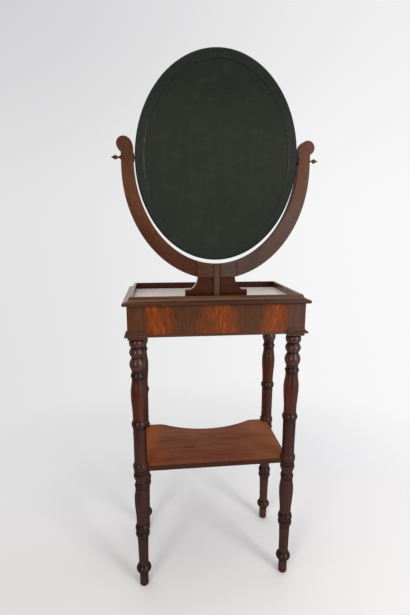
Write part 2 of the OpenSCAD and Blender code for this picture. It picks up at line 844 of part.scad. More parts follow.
// The bracket's right-hand edge, from its foot up to its top.
function bracket_edge(sx) = let (
    sweep_w = bracket_foot - toe_flat - bracket_top,
    sweep_h = bracket_h - toe_h
) concat(
    [[sx * bracket_foot, tray_floor_z], [sx * bracket_foot, tray_floor_z + toe_h]],
    [for (a = [90:-7.5:0])
        [sx * (bracket_foot - toe_flat - sweep_w * cos(a)), bracket_z1 - sweep_h * sin(a)]]
);

module bracket() {
    left_edge = bracket_edge(-1);
    color(mahogany) difference() {
        along_y(bracket_rear, bracket_t) polygon(concat(
            bracket_edge(1), [for (i = [len(left_edge) - 1:-1:0]) left_edge[i]]
        ));
        translate([0, 0, tray_floor_z - 1]) linear_extrude(bracket_h + 2) post_plan(slide_gap);
        bracket_screw_shapes(glue_gap);
        translate([0, yoke_front + 1, clamp_z]) rotate([90, 0, 0])
            cylinder(h = bracket_t, r = clamp_r + pivot_gap, $fn = 48);
    }
}

bracket_screw_x = [32, 70];
bracket_screw_l = 26;

// The four screws that rise through the tray's board into the bracket.
module bracket_screw_shapes(gap) {
    both_sides() for (x = bracket_screw_x)
        translate([x, bracket_rear + bracket_t / 2, board_z]) {
            translate([0, 0, -3]) cylinder(h = 3, r = 4.5, $fn = 24);
            cylinder(h = bracket_screw_l + gap, r = 2 + gap, $fn = 24);
        }
}

module bracket_screws() {
    color(iron) bracket_screw_shapes(0);
}

// The screw that clamps the post, seen from the front.
module clamp_screw() {
    knob = clamp_knob_d / 2;
    tip_y = bracket_rear + dovetail_d + slide_gap;
    shank = yoke_front - tip_y;
    color(brass) translate([0, yoke_front, clamp_z]) rotate([-90, 0, 0]) {
        difference() {
            rotate_extrude($fn = 64) polygon([
                [0, -shank], [clamp_r - 0.5, -shank], [clamp_r, -shank + 0.6], [clamp_r, slide_gap],
                [knob * 0.6, slide_gap], [knob * 0.6, 2], [knob * 0.4, 3.2], [knob * 0.4, 5.4],
                [knob - 1, 6.2], [knob, 7.2], [knob, 12.4], [knob - 1, 13.4], [knob * 0.5, 14.4],
                [0, 14.8]
            ]);
            // finger flutes round the knob
            for (a = [0:30:330]) rotate([0, 0, a]) translate([knob + 0.6, 0, 5])
                cylinder(h = 10, r = 1.4, $fn = 16);
        }
    }
}

// ---- post and yoke ------------------------------------------------------------------

seat_z = bracket_z1;
yoke_inner_z = seat_z + yoke_foot_h;
inner_a = mirror_a + arm_gap;
inner_b = mirror_b + bottom_gap;
mirror_z = yoke_inner_z + inner_b;
pivot_z = mirror_z + pivot_above;
outer_a = inner_a + arm_w;
outer_z = mirror_z - outer_drop;
band_bottom = 6.5;
outer_b = outer_z - seat_z + band_bottom;
post_z0 = board_z - post_below;
stop_pin_r = 2.5;
stop_pin_l = 36;
stop_pin_z = post_z0 + 6;
curve_steps = 40;

// Height of the inner and of the outer curve at a distance x from the middle.
function inner_curve_z(x) = mirror_z - inner_b * sqrt(1 - pow(x / inner_a, 2));
function outer_curve_z(x) = max(seat_z, outer_z - outer_b * sqrt(1 - pow(x / outer_a, 2)));

module stop_pin_shape(gap) {
    translate([-stop_pin_l / 2, bracket_rear + dovetail_d / 2, stop_pin_z]) rotate([0, 90, 0])
        cylinder(h = stop_pin_l, r = stop_pin_r + gap, $fn = 32);
}

module post() {
    color(dark_mahogany) difference() {
        translate([0, 0, post_z0]) linear_extrude(yoke_inner_z - post_z0) post_plan(0);
        stop_pin_shape(glue_gap);
    }
}

module post_stop_pin() {
    color(drawer_wood) stop_pin_shape(0);
}

dowel_r = 3.5;
dowel_l = 36;
dowel_z = [14.5, 28.5];

module yoke_dowel_shapes(gap) {
    both_sides() for (z = dowel_z)
        translate([block_half - dowel_l / 2 - gap, yoke_y, seat_z + z]) rotate([0, 90, 0])
            cylinder(h = dowel_l + 2 * gap, r = dowel_r + gap, $fn = 32);
}

module yoke_dowels() {
    color(drawer_wood) yoke_dowel_shapes(0);
}

module yoke_block() {
    xs = [for (i = [-10:10]) block_half * i / 10];
    color(mahogany) difference() {
        along_y(yoke_rear, yoke_t) polygon(concat(
            [for (x = xs) [x, inner_curve_z(x)]],
            [for (i = [20:-1:0]) [xs[i], outer_curve_z(xs[i])]]
        ));
        translate([0, 0, seat_z - 1]) linear_extrude(yoke_foot_h + bottom_gap) post_plan(glue_gap);
        yoke_dowel_shapes(glue_gap);
    }
}

scroll_x = outer_a + scroll_out - scroll_r;
scroll_z = mirror_z + scroll_rise;
screw_shank_r = 3.5;
screw_tip_r = 3;

// The right arm, between the two curves and up to its round head.
module yoke_arm() {
    joint_in = asin(block_half / inner_a);
    joint_out = asin(block_half / outer_a);
    notch = acos((outer_a - scroll_x) / scroll_r);
    color(mahogany) difference() {
        along_y(yoke_rear, yoke_t) polygon(concat(
            [for (i = [0:curve_steps]) let (t = joint_out + (90 - joint_out) * i / curve_steps)
                [outer_a * sin(t), outer_z - outer_b * cos(t)]],
            [for (i = [0:24]) let (a = -notch + (90 + notch) * i / 24)
                [scroll_x + scroll_r * cos(a), scroll_z + scroll_r * sin(a)]],
            [for (a = [99:9:180]) [scroll_x + (scroll_x - inner_a) * cos(a),
                scroll_z + scroll_r - shoulder_h * (1 - sin(a))]],
            [for (i = [curve_steps:-1:0]) let (t = joint_in + (90 - joint_in) * i / curve_steps)
                [inner_a * sin(t), mirror_z - inner_b * cos(t)]]
        ));
        yoke_dowel_shapes(glue_gap);
        translate([inner_a - 10, yoke_y, pivot_z]) rotate([0, 90, 0])
            cylinder(h = arm_w + 20, r = screw_shank_r + pivot_gap, $fn = 48);
    }
}

module yoke_arm_left() {
    mirror([1, 0, 0]) yoke_arm();
}

module yoke_arm_right() {
    yoke_arm();
}

washer_r = 11;
washer_in = inner_a - arm_gap + 1.2;
washer_out = inner_a - 0.5;

module pivot_washers() {
    color(iron) both_sides() translate([washer_in, yoke_y, pivot_z]) rotate([0, 90, 0])
        difference() {
            cylinder(h = washer_out - washer_in, r = washer_r, $fn = 48);
            translate([0, 0, -1]) cylinder(h = arm_gap + 2, r = screw_shank_r + pivot_gap, $fn = 48);
        }
}

// The pivot screw on the right: threaded tip, shank through the arm, turned finial.
module pivot_screw() {
    tip = -(outer_a - mirror_a) - 16;
    step = -(outer_a - mirror_a) + 1;
    color(iron) translate([outer_a, yoke_y, pivot_z]) rotate([0, 90, 0])
        rotate_extrude($fn = 64) polygon([
            [0, tip], [screw_tip_r - 0.8, tip], [screw_tip_r, tip + 1], [screw_tip_r, step],
            [screw_shank_r, step], [screw_shank_r, slide_gap], [5.4, slide_gap], [5.4, 1.4],
            [4.4, 2.4], [2.7, 4.2], [2.1, 6], [2.2, 7.6], [3, 9.4], [4.5, 11.4], [5.7, 13],
            [6, 14], [5.7, 15], [4.5, 17], [3, 19.6], [1.9, 22], [1.1, 23.8], [0.5, 24.7], [0, 25]
        ]);
}

module pivot_screw_left() {
    mirror([1, 0, 0]) pivot_screw();
}

module pivot_screw_right() {
    pivot_screw();
}

// ---- mirror -------------------------------------------------------------------------

oval_steps = 96;

// A point that lies u inside the edge of the oval, at the angle t.
function oval_point(t, u) = let (n = [mirror_b * cos(t), mirror_a * sin(t)])
    [mirror_a * cos(t), mirror_b * sin(t)] - u * n / norm(n);

module oval(u) {
    polygon([for (i = [0:oval_steps - 1]) oval_point(360 * i / oval_steps, u)]);
}

// Puts a shape that is drawn round the oval's middle in its place, leaning at the pivots.
module hang() {
    translate([0, yoke_y, pivot_z]) rotate([rest_tilt, 0, 0]) translate([0, 0, -pivot_above])
        children();
}

half_t = frame_t / 2;
ledge_y = -half_t + 1 + back_t;
glass_edge = back_inset + 5;
glass_front = half_t - 7;
// Section of the frame: distance in from the edge, and depth from the middle plane
frame_section = [
    [0, -half_t + 6], [0.9, -half_t + 2.8], [3, -half_t + 0.6], [6, -half_t],
    [back_inset, -half_t], [back_inset, ledge_y], [glass_edge, ledge_y],
    [glass_edge, glass_front], [frame_w, glass_front], [frame_w, glass_front + 1.6],
    [frame_w - 1.2, half_t - 3], [frame_w - 4.5, half_t - 1.2], [frame_w - 8.5, half_t - 0.6],
    [frame_w - 9, half_t], [6.5, half_t], [2.2, half_t - 1.8], [0, half_t - 6]
];

// The oval ring: the section carried round the oval as one closed surface.
module frame_ring() {
    m = len(frame_section);
    points = [
        for (i = [0:oval_steps - 1], s = frame_section)
            let (p = oval_point(360 * i / oval_steps, s[0])) [p[0], s[1], p[1]]
    ];
    faces = [
        for (i = [0:oval_steps - 1], j = [0:m - 1])
            let (i2 = (i + 1) % oval_steps, j2 = (j + 1) % m)
                [i * m + j, i * m + j2, i2 * m + j2, i2 * m + j]
    ];
    polyhedron(points = points, faces = faces, convexity = 8);
}

socket_r = 6;
socket_flange_r = 9;
socket_l = 17;
socket_flange_t = 3;

// The threaded socket that is let into the frame's right edge.
module socket_shape(gap, drill) {
    translate([mirror_a - 0.2, 0, pivot_above]) rotate([0, -90, 0]) difference() {
        union() {
            translate([0, 0, -drill]) cylinder(h = socket_flange_t + drill, r = socket_flange_r + gap);
            cylinder(h = socket_l, r = socket_r + gap);
        }
        if (drill == 0) translate([0, 0, -1])
            cylinder(h = socket_l + 2, r = screw_tip_r + pivot_gap, $fn = 48);
    }
}

pin_count = 20;
pin_r = 0.8;
pin_in_frame = 5;

// The headed pins that hold the back board on the frame's ledge.
module pin_shapes(gap) {
    for (i = [0:pin_count - 1]) {
        p = oval_point(360 * (i + 0.5) / pin_count, back_inset + 2.6);
        translate([p[0], ledge_y - back_t, p[1]]) rotate([-90, 0, 0]) {
            cylinder(h = back_t + pin_in_frame + gap, r = pin_r + gap, $fn = 12);
            translate([0, 0, -0.6]) cylinder(h = 0.6, r = 2 * pin_r, $fn = 12);
        }
    }
}

module mirror_frame() {
    color(mahogany) hang() difference() {
        frame_ring();
        both_sides() socket_shape(glue_gap, 1);
        pin_shapes(glue_gap);
    }
}

module mirror_sockets() {
    color(brass) hang() both_sides() socket_shape(0, 0);
}

fit_in = 0.3;

module mirror_glass() {
    color(silver) hang() along_y(glass_front - glass_t, glass_t) oval(glass_edge + fit_in);
}

module mirror_packing() {
    color(paper) hang() along_y(ledge_y, glass_front - glass_t - ledge_y) oval(glass_edge + fit_in);
}

module mirror_back() {
    color(back_green) hang() difference() {
        along_y(ledge_y - back_t, back_t) oval(back_inset + fit_in);
        pin_shapes(glue_gap);
    }
}

module mirror_back_pins() {
    color(iron) hang() pin_shapes(0);
}

// ---- the parts ----------------------------------------------------------------------

leg_rear_left();
leg_rear_right();
leg_front_left();
leg_front_right();
head_mouldings_rear();
head_mouldings_front();
rear_rail();
left_rail();
right_rail();
drawer_rail_upper();
drawer_rail_lower();
rear_veneer();
left_veneer();
right_veneer();
frieze_beads();
drawer_runners();
drawer_guides();
drawer_kickers();
drawer_stops();
glue_blocks();
tray_board();
rim_rear();
rim_front();
rim_left();
rim_right();
shelf();
shelf_dowels();
drawer_front();
drawer_front_veneer();
drawer_cock_beads();
drawer_side_left();
drawer_side_right();
drawer_back();
drawer_bottom();
drawer_knobs();
bracket();
bracket_screws();
clamp_screw();
post();
post_stop_pin();
yoke_block();
yoke_arm_left();
yoke_arm_right();
yoke_dowels();
pivot_washers();
pivot_screw_left();
pivot_screw_right();
mirror_frame();
mirror_glass();
mirror_packing();
mirror_back();
mirror_back_pins();
mirror_sockets();
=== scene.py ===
"""The looks of the shaving stand: its finishes, a pale studio and the camera.

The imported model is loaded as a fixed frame. Every piece of it keeps its shape, gets its edges
eased by modifiers and is finished with a procedural material. Lengths are metres, +Z is up and
+Y points towards the person who uses the stand; the camera stands behind it.
"""

import logging
import math
from dataclasses import dataclass, field
from enum import Enum

import bmesh
import bpy
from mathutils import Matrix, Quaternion, Vector


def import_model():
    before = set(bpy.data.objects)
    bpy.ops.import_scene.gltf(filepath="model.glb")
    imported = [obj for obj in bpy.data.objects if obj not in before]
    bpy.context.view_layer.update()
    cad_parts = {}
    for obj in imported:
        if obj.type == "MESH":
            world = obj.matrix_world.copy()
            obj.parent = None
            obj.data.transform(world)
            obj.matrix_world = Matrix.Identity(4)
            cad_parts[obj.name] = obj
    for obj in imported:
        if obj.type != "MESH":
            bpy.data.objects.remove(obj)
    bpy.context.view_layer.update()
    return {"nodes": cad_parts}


log = logging.getLogger("shaving_stand")

PHOTO_HEIGHT = 615

Colour = tuple[float, float, float, float]
Point = tuple[float, float, float]
Span = tuple[float, float]


def paint(red: float, green: float, blue: float) -> Colour:
    """Turns a screen colour into the linear one that a shader takes.

    Args:
        red: Red, from 0 to 255.
        green: Green, from 0 to 255.
        blue: Blue, from 0 to 255.

    Returns:
        The linear colour, opaque.
    """
    # The curve of a standard screen, which is straight near black.
    shares = (red / 255, green / 255, blue / 255)
    linear = [s / 12.92 if s <= 0.04045 else ((s + 0.055) / 1.055) ** 2.4 for s in shares]
    return (linear[0], linear[1], linear[2], 1.0)


# ---- shader building --------------------------------------------------------------------

# Shares of open sky between which a crease begins and is at its deepest.
CREASE_SKY = (0.95, 0.65)
CREASE_SAMPLES = 12


class Axis(Enum):
    """An axis that a point is turned about."""

    X = "X_AXIS"
    Y = "Y_AXIS"


class Signal:
    """An output of a shader node that can be used in arithmetic."""

    def __init__(self, recipe: "Recipe", socket: bpy.types.NodeSocket) -> None:
        """Wraps a socket of the recipe's node tree."""
        self.recipe = recipe
        self.socket = socket

    def __add__(self, other: "Value") -> "Signal":
        """self + other."""
        return self.recipe.calculate("ADD", self, other)

    def __radd__(self, other: "Value") -> "Signal":
        """other + self."""
        return self.recipe.calculate("ADD", other, self)

    def __sub__(self, other: "Value") -> "Signal":
        """self - other."""
        return self.recipe.calculate("SUBTRACT", self, other)

    def __rsub__(self, other: "Value") -> "Signal":
        """other - self."""
        return self.recipe.calculate("SUBTRACT", other, self)

    def __mul__(self, other: "Value") -> "Signal":
        """self * other."""
        return self.recipe.calculate("MULTIPLY", self, other)

    def __rmul__(self, other: "Value") -> "Signal":
        """other * self."""
        return self.recipe.calculate("MULTIPLY", other, self)

    def __truediv__(self, other: "Value") -> "Signal":
        """self / other."""
        return self.recipe.calculate("DIVIDE", self, other)

    def __rtruediv__(self, other: "Value") -> "Signal":
        """other / self."""
        return self.recipe.calculate("DIVIDE", other, self)

    def __pow__(self, other: "Value") -> "Signal":
        """self ** other."""
        return self.recipe.calculate("POWER", self, other)

    def __abs__(self) -> "Signal":
        """abs(self)."""
        return self.recipe.calculate("ABSOLUTE", self)

    def about_zero(self, width: float) -> "Signal":
        """Moves a value from 0 to 1 onto a range of that width about 0."""
        return (self - 0.5) * width


Value = Signal | float


class Recipe:
    """The node tree of one material or world, written as expressions."""

    def __init__(self, tree: bpy.types.NodeTree) -> None:
        """Empties the tree."""
        self.tree = tree
        tree.nodes.clear()

    def add(
        self, kind: str, settings: dict | None = None, inputs: dict | None = None
    ) -> bpy.types.Node:
        """Adds one node.

        Args:
            kind: The node's type.
            settings: Its properties, set first. "stops" are a colour ramp's places and colours.
            inputs: A value or a Signal for each socket, by name or number.

        Returns:
            The node.
        """
        node = self.tree.nodes.new(kind)
        for name, value in (settings or {}).items():
            if name == "stops":
                elements = node.color_ramp.elements
                while len(elements) < len(value):
                    elements.new(1.0)
                for element, (place, colour) in zip(elements, value):
                    element.position = place
                    element.color = colour
            else:
                setattr(node, name, value)
        for name, value in (inputs or {}).items():
            if isinstance(value, Signal):
                self.tree.links.new(value.socket, node.inputs[name])
            else:
                node.inputs[name].default_value = value
        return node

    def node(
        self,
        kind: str,
        settings: dict | None = None,
        inputs: dict | None = None,
        output: int | str = 0,
    ) -> Signal:
        """Adds one node and takes an output of it, by name or number."""
        return Signal(self, self.add(kind, settings, inputs).outputs[output])

    def calculate(self, operation: str, first: Value, second: Value = 0.0) -> Signal:
        """Adds a Math node."""
        return self.node("ShaderNodeMath", {"operation": operation}, {0: first, 1: second})

    def place(self) -> Signal:
        """The point being shaded, in the piece's own coordinates."""
        return self.node("ShaderNodeTexCoord", output="Object")

    def shift(self, point: Signal, offset: Point) -> Signal:
        """Moves a point by a fixed offset."""
        return self.node("ShaderNodeVectorMath", {"operation": "ADD"}, {0: point, 1: offset})

    def stretch(self, point: Signal, factors: Point) -> Signal:
        """Scales a point along each axis."""
        return self.node("ShaderNodeVectorMath", {"operation": "MULTIPLY"}, {0: point, 1: factors})

    def turned(self, point: Signal, axis: Axis, angle: float) -> Signal:
        """Turns a point about an axis through the origin, by an angle in radians."""
        settings = {"rotation_type": axis.value}
        return self.node("ShaderNodeVectorRotate", settings, {"Vector": point, "Angle": angle})

    def length(self, point: Signal) -> Signal:
        """How far a point lies from the origin."""
        return self.node("ShaderNodeVectorMath", {"operation": "LENGTH"}, {0: point}, "Value")

    def split(self, point: Signal) -> tuple[Signal, Signal, Signal]:
        """Takes a point apart into x, y and z."""
        x, y, z = self.add("ShaderNodeSeparateXYZ", inputs={0: point}).outputs
        return Signal(self, x), Signal(self, y), Signal(self, z)

    def join(self, x: Value, y: Value, z: Value) -> Signal:
        """Makes a point of three numbers."""
        return self.node("ShaderNodeCombineXYZ", inputs={0: x, 1: y, 2: z})

    def noise(self, point: Signal, scale: float, detail: float = 2.0, rough: float = 0.5) -> Signal:
        """Soft random clouds from 0 to 1.

        Args:
            point: Where they are read.
            scale: How many clouds fit in a metre.
            detail: How many finer layers there are.
            rough: How strong the finer layers are.

        Returns:
            The clouds' value.
        """
        values = {"Vector": point, "Scale": scale, "Detail": detail, "Roughness": rough}
        return self.node("ShaderNodeTexNoise", inputs=values)

    def ragged(self, value: Signal, scale: float, width: float) -> Signal:
        """Shakes a value by clouds, so that a border drawn with it is ragged."""
        return value + self.noise(self.place(), scale).about_zero(width)

    def step(self, value: Value, low: float, high: float) -> Signal:
        """Rises smoothly from 0 at low to 1 at high; low may be the larger one."""
        limits = {"Value": value, "From Min": low, "From Max": high}
        return self.node("ShaderNodeMapRange", {"interpolation_type": "SMOOTHSTEP"}, limits)

    def above(self, value: Value, border: float, blur: float) -> Signal:
        """Changes from 0 to 1 across a border that is blurred on both sides."""
        return self.step(value, border - blur, border + blur)

    def near(self, value: Value, middle: float, distances: Span) -> Signal:
        """Rises from 0 to 1 between two distances from a middle, the larger one first."""
        return self.step(abs(value - middle), *distances)

    def most(self, first: Value, second: Value) -> Signal:
        """The larger of two values."""
        return self.calculate("MAXIMUM", first, second)

    def ramp(self, value: Signal, stops: list[tuple[float, Colour]]) -> Signal:
        """Colours a value from 0 to 1."""
        return self.node("ShaderNodeValToRGB", {"stops": stops}, {0: value})

    def mix(self, share: Value, first: Signal | Colour, second: Signal | Colour) -> Signal:
        """Blends two colours by the second one's share."""
        values = {0: share, 6: first, 7: second}
        return self.node("ShaderNodeMix", {"data_type": "RGBA"}, values, output=2)

    def tint(self, colour: Signal, by: Colour, share: Value) -> Signal:
        """Multiplies a colour by another, as far as share says."""
        settings = {"data_type": "RGBA", "blend_type": "MULTIPLY"}
        return self.node("ShaderNodeMix", settings, {0: share, 6: colour, 7: by}, output=2)

    def hollows(self, reach: float, inside: bool = False) -> Signal:
        """Rises from 0 on open faces to 1 deep in the piece's own creases.

        Args:
            reach: How far away the walls of a crease may be, in metres.
            inside: Looks for walls inside the piece, and so finds its edges instead.

        Returns:
            The mask.
        """
        settings = {"samples": CREASE_SAMPLES, "only_local": True, "inside": inside}
        sky = self.node("ShaderNodeAmbientOcclusion", settings, {"Distance": reach}, "AO")
        return self.step(sky, *CREASE_SKY)

    def facing(self) -> tuple[Signal, Signal, Signal]:
        """The way the surface faces, in the piece's own coordinates."""
        return self.split(self.node("ShaderNodeTexCoord", output="Normal"))

    def low_angle(self) -> Signal:
        """Rises from 0 where the surface is seen square on to 1 at its outline."""
        return self.node("ShaderNodeLayerWeight", inputs={"Blend": 0.5}, output="Facing")

    def bump(self, height: Signal, depth: float, strength: float = 1.0) -> Signal:
        """A normal that makes height look as deep as depth, in metres."""
        values = {"Height": height, "Distance": depth, "Strength": strength}
        return self.node("ShaderNodeBump", inputs=values)

    def surface(self, colour: Signal | Colour, rough: Value, **sockets: Value) -> Signal:
        """The principled shader.

        Args:
            colour: Base Color.
            rough: Roughness.
            sockets: Other sockets, with _ for each space in a name.

        Returns:
            Its shader output.
        """
        values = {"Base Color": colour, "Roughness": rough}
        values.update({name.replace("_", " "): value for name, value in sockets.items()})
        return self.node("ShaderNodeBsdfPrincipled", inputs=values)

    def finish(self, shader: Signal, kind: str = "ShaderNodeOutputMaterial") -> None:
        """Makes a shader the surface of the material, or of the world by its kind of output."""
        self.add(kind, inputs={"Surface": shader})


def new_material(name: str) -> tuple[bpy.types.Material, Recipe]:
    """Makes a material.

    Args:
        name: What it is called.

    Returns:
        The material and the recipe of its nodes.
    """
    material = bpy.data.materials.new(name)
    material.use_nodes = True
    return material, Recipe(material.node_tree)


# ---- finishes ---------------------------------------------------------------------------


class Grain(Enum):
    """The way along which the fibres of a piece run."""

    SIDEWAYS = (1, 0, 0)
    DEEP = (0, 1, 0)
    UPRIGHT = (0, 0, 1)

    def squeeze(self, share: float) -> Point:
        """Factors that draw a pattern out along the fibres."""
        x, y, z = (share if along else 1.0 for along in self.value)
        return (x, y, z)


@dataclass(frozen=True)
class Pattern:
    """Random marks on a surface.

    Attributes:
        count: How many marks cross a metre, or one unit of a point that is scaled before.
        detail: How many finer layers of marks there are.
        rough: How strong those are.
        drawn: How wide a mark is for its length along the fibres.
        weight: How far the marks move a wood's tone.
    """

    count: float
    detail: float
    rough: float
    drawn: float = 1.0
    weight: float = 0.0

    def read(self, recipe: Recipe, point: Signal, grain: Grain = Grain.UPRIGHT) -> Signal:
        """Reads the marks at a point.

        Args:
            recipe: The material's recipe.
            point: The point.
            grain: The way along which the marks are drawn out.

        Returns:
            Their value, from 0 to 1.
        """
        if self.drawn != 1.0:
            point = recipe.stretch(point, grain.squeeze(self.drawn))
        return recipe.noise(point, self.count, self.detail, self.rough)


# Polished wood
BROAD = Pattern(22.0, 3.0, 0.55, drawn=0.16, weight=0.9)
STREAKS = Pattern(210.0, 5.0, 0.62, drawn=0.035, weight=0.6)
FIBRES = Pattern(900.0, 2.0, 0.5, drawn=0.02, weight=0.35)
PORES = Pattern(1500.0, 1.0, 0.4, drawn=0.05)
FLECKS = Pattern(380.0, 2.0, 0.5, drawn=0.13)
CHIPS = Pattern(190.0, 3.0, 0.6)
# The veneer
VENEER_CLOUDS = Pattern(24.0, 3.0, 0.55, drawn=0.45)
VENEER_STREAKS = Pattern(2.2, 5.0, 0.62)
VENEER_FIBRES = Pattern(2.0, 4.0, 0.6)
VENEER_MOTTLE = Pattern(1.6, 3.0, 0.55)
# Metal
BLOTCHES = Pattern(140.0, 5.0, 0.65)
SCRATCHES = Pattern(900.0, 3.0, 0.6, drawn=0.15)
# The mirror's stained back, its silvering and its packing
STAIN_CLOUDS = Pattern(9.0, 4.0, 0.6)
STAIN_GRAIN = Pattern(260.0, 4.0, 0.6, drawn=0.03)
STAIN_GRIT = Pattern(700.0, 3.0, 0.6)
SMEARS = Pattern(26.0, 5.0, 0.7, drawn=1.6)
RUBBED = Pattern(260.0, 4.0, 0.7)
HAZE = Pattern(14.0, 4.0, 0.6)
FOXING = Pattern(320.0, 4.0, 0.7)
FLUFF = Pattern(900.0, 5.0, 0.7)

PORE_TINT = paint(120, 105, 100)
FLECK_TINT = paint(140, 118, 108)
# Tint of the dirt and painted shade in the creases.
CREASE_DIRT_AND_SHADE_TINT = paint(62, 46, 38)
# Colour of the painted sheen.
PAINTED_SHEEN_COLOUR = paint(236, 224, 218)
# How low the angles are between which the painted sheen begins to hide the wood.
PAINTED_SHEEN_ANGLES = (0.6, 0.9)
DUST_SPREAD = 0.3
# How far away the walls of a crease with dirt and painted shade may be.
CREASE_REACH = 0.014
GRAIN_DEPTH = 0.00018
UNEVEN_POLISH = 0.25
# How far another board lies from the last one in the patterns.
NEXT_BOARD = (1.7, 2.3, 3.1)
# Tones at which a wood has its dark, its middle and its light colour.
WOOD_STOPS = (0.28, 0.5, 0.74)


@dataclass(frozen=True)
class Wood:
    """A wood with its polish.

    Attributes:
        name: What the material is called.
        dark: Colour of the darkest streaks.
        middle: Colour between them.
        light: Colour of the lightest streaks.
        roughness: How dull the polish is.
        gloss: Strength of the reflection from the wood itself.
        coat: How thick the polish is.
        polish: How dull the coat is.
        density: The coat's index of refraction.
        dust: How much dust shows when the wood is seen at a low angle.
        painted_sheen: How far a pale colour is mixed in at low angles, a painted sheen.
        contrast: How far the streaks leave the middle colour.
        pores: How dark the pores are.
        flecks: How dark the short flecks between the streaks are.
        dirt_and_shade: How dark the dirt and painted shade in the creases are.
    """

    name: str
    dark: Colour
    middle: Colour
    light: Colour
    roughness: float = 0.4
    gloss: float = 0.0
    coat: float = 0.15
    polish: float = 0.2
    density: float = 2.0
    dust: float = 0.0
    painted_sheen: float = 0.0
    contrast: float = 1.0
    pores: float = 0.4
    flecks: float = 0.35
    dirt_and_shade: float = 0.0

    def material(self, grain: Grain, seed: int) -> bpy.types.Material:
        """Makes the wood for pieces whose fibres run one way, or gives the one that is there.

        Args:
            grain: The way the fibres run.
            seed: Another number gives another board.

        Returns:
            The material.
        """
        name = f"{self.name}_{grain.name.lower()}_{seed}"
        known = bpy.data.materials.get(name)
        if known:
            return known
        material, recipe = new_material(name)
        self.polished(recipe, *self.figure(recipe, grain, seed))
        return material

    def polished(
        self,
        recipe: Recipe,
        colour: Signal,
        height: Signal,
        streaks: Signal,
        coat: Value | None = None,
    ) -> None:
        """Makes the material's surface: the wood's colour under its polish.

        Args:
            recipe: The material's recipe.
            colour: The wood's colour.
            height: The relief of its grain.
            streaks: Its streaks, which make the polish uneven.
            coat: How thick the polish is, where that changes over the piece.
        """
        # Dirt and painted shade in the creases, found by ambient occlusion.
        if self.dirt_and_shade:
            colour = recipe.tint(colour, CREASE_DIRT_AND_SHADE_TINT, recipe.hollows(CREASE_REACH) * self.dirt_and_shade)
        shader = recipe.surface(
            colour,
            self.roughness + streaks.about_zero(UNEVEN_POLISH),
            Normal=recipe.bump(height, GRAIN_DEPTH, 0.5),
            Specular_IOR_Level=self.gloss,
            Coat_Weight=self.coat if coat is None else coat,
            Coat_Roughness=self.polish,
            Coat_IOR=self.density,
            Sheen_Weight=self.dust,
            Sheen_Roughness=DUST_SPREAD,
        )
        # A pale colour mixed in at low angles: a painted sheen.
        if self.painted_sheen:
            pale = recipe.node("ShaderNodeBsdfDiffuse", inputs={"Color": PAINTED_SHEEN_COLOUR})
            share = recipe.step(recipe.low_angle(), *PAINTED_SHEEN_ANGLES) * self.painted_sheen
            shader = recipe.node("ShaderNodeMixShader", inputs={0: share, 1: shader, 2: pale})
        recipe.finish(shader)

    def figure(
        self, recipe: Recipe, grain: Grain, seed: int, turn: float = 0.0
    ) -> tuple[Signal, Signal, Signal]:
        """Builds the figure of the wood.

        Args:
            recipe: The material's recipe.
            grain: The way the fibres run.
            seed: Another number gives another board.
            turn: Turns the fibres about +Y, in radians.

        Returns:
            The wood's colour, the relief of its grain and its streaks.
        """
        point = recipe.place()
        if turn:
            point = recipe.turned(point, Axis.Y, turn)
        x, y, z = NEXT_BOARD
        point = recipe.shift(point, (seed * x, seed * y, seed * z))
        broad = BROAD.read(recipe, point, grain).about_zero(BROAD.weight)
        streaks = STREAKS.read(recipe, point, grain)
        fibres = FIBRES.read(recipe, point, grain)
        pores = recipe.step(PORES.read(recipe, point, grain), 0.60, 0.70)
        flecks = recipe.step(FLECKS.read(recipe, point, grain), 0.58, 0.70)
        tone = broad + streaks.about_zero(STREAKS.weight) + fibres.about_zero(FIBRES.weight)
        stops = zip(WOOD_STOPS, (self.dark, self.middle, self.light))
        colour = recipe.ramp(tone * self.contrast + 0.5, list(stops))
        colour = recipe.tint(colour, PORE_TINT, pores * self.pores)
        colour = recipe.tint(colour, FLECK_TINT, flecks * self.flecks)
        height = streaks * 0.4 + fibres * 0.25 - pores * 0.6
        return colour, height, streaks


class Seen(Enum):
    """Where a panel is looked at from. The value is 1 where +X then lies to the right."""

    FROM_BEHIND = 1
    FROM_FRONT = -1


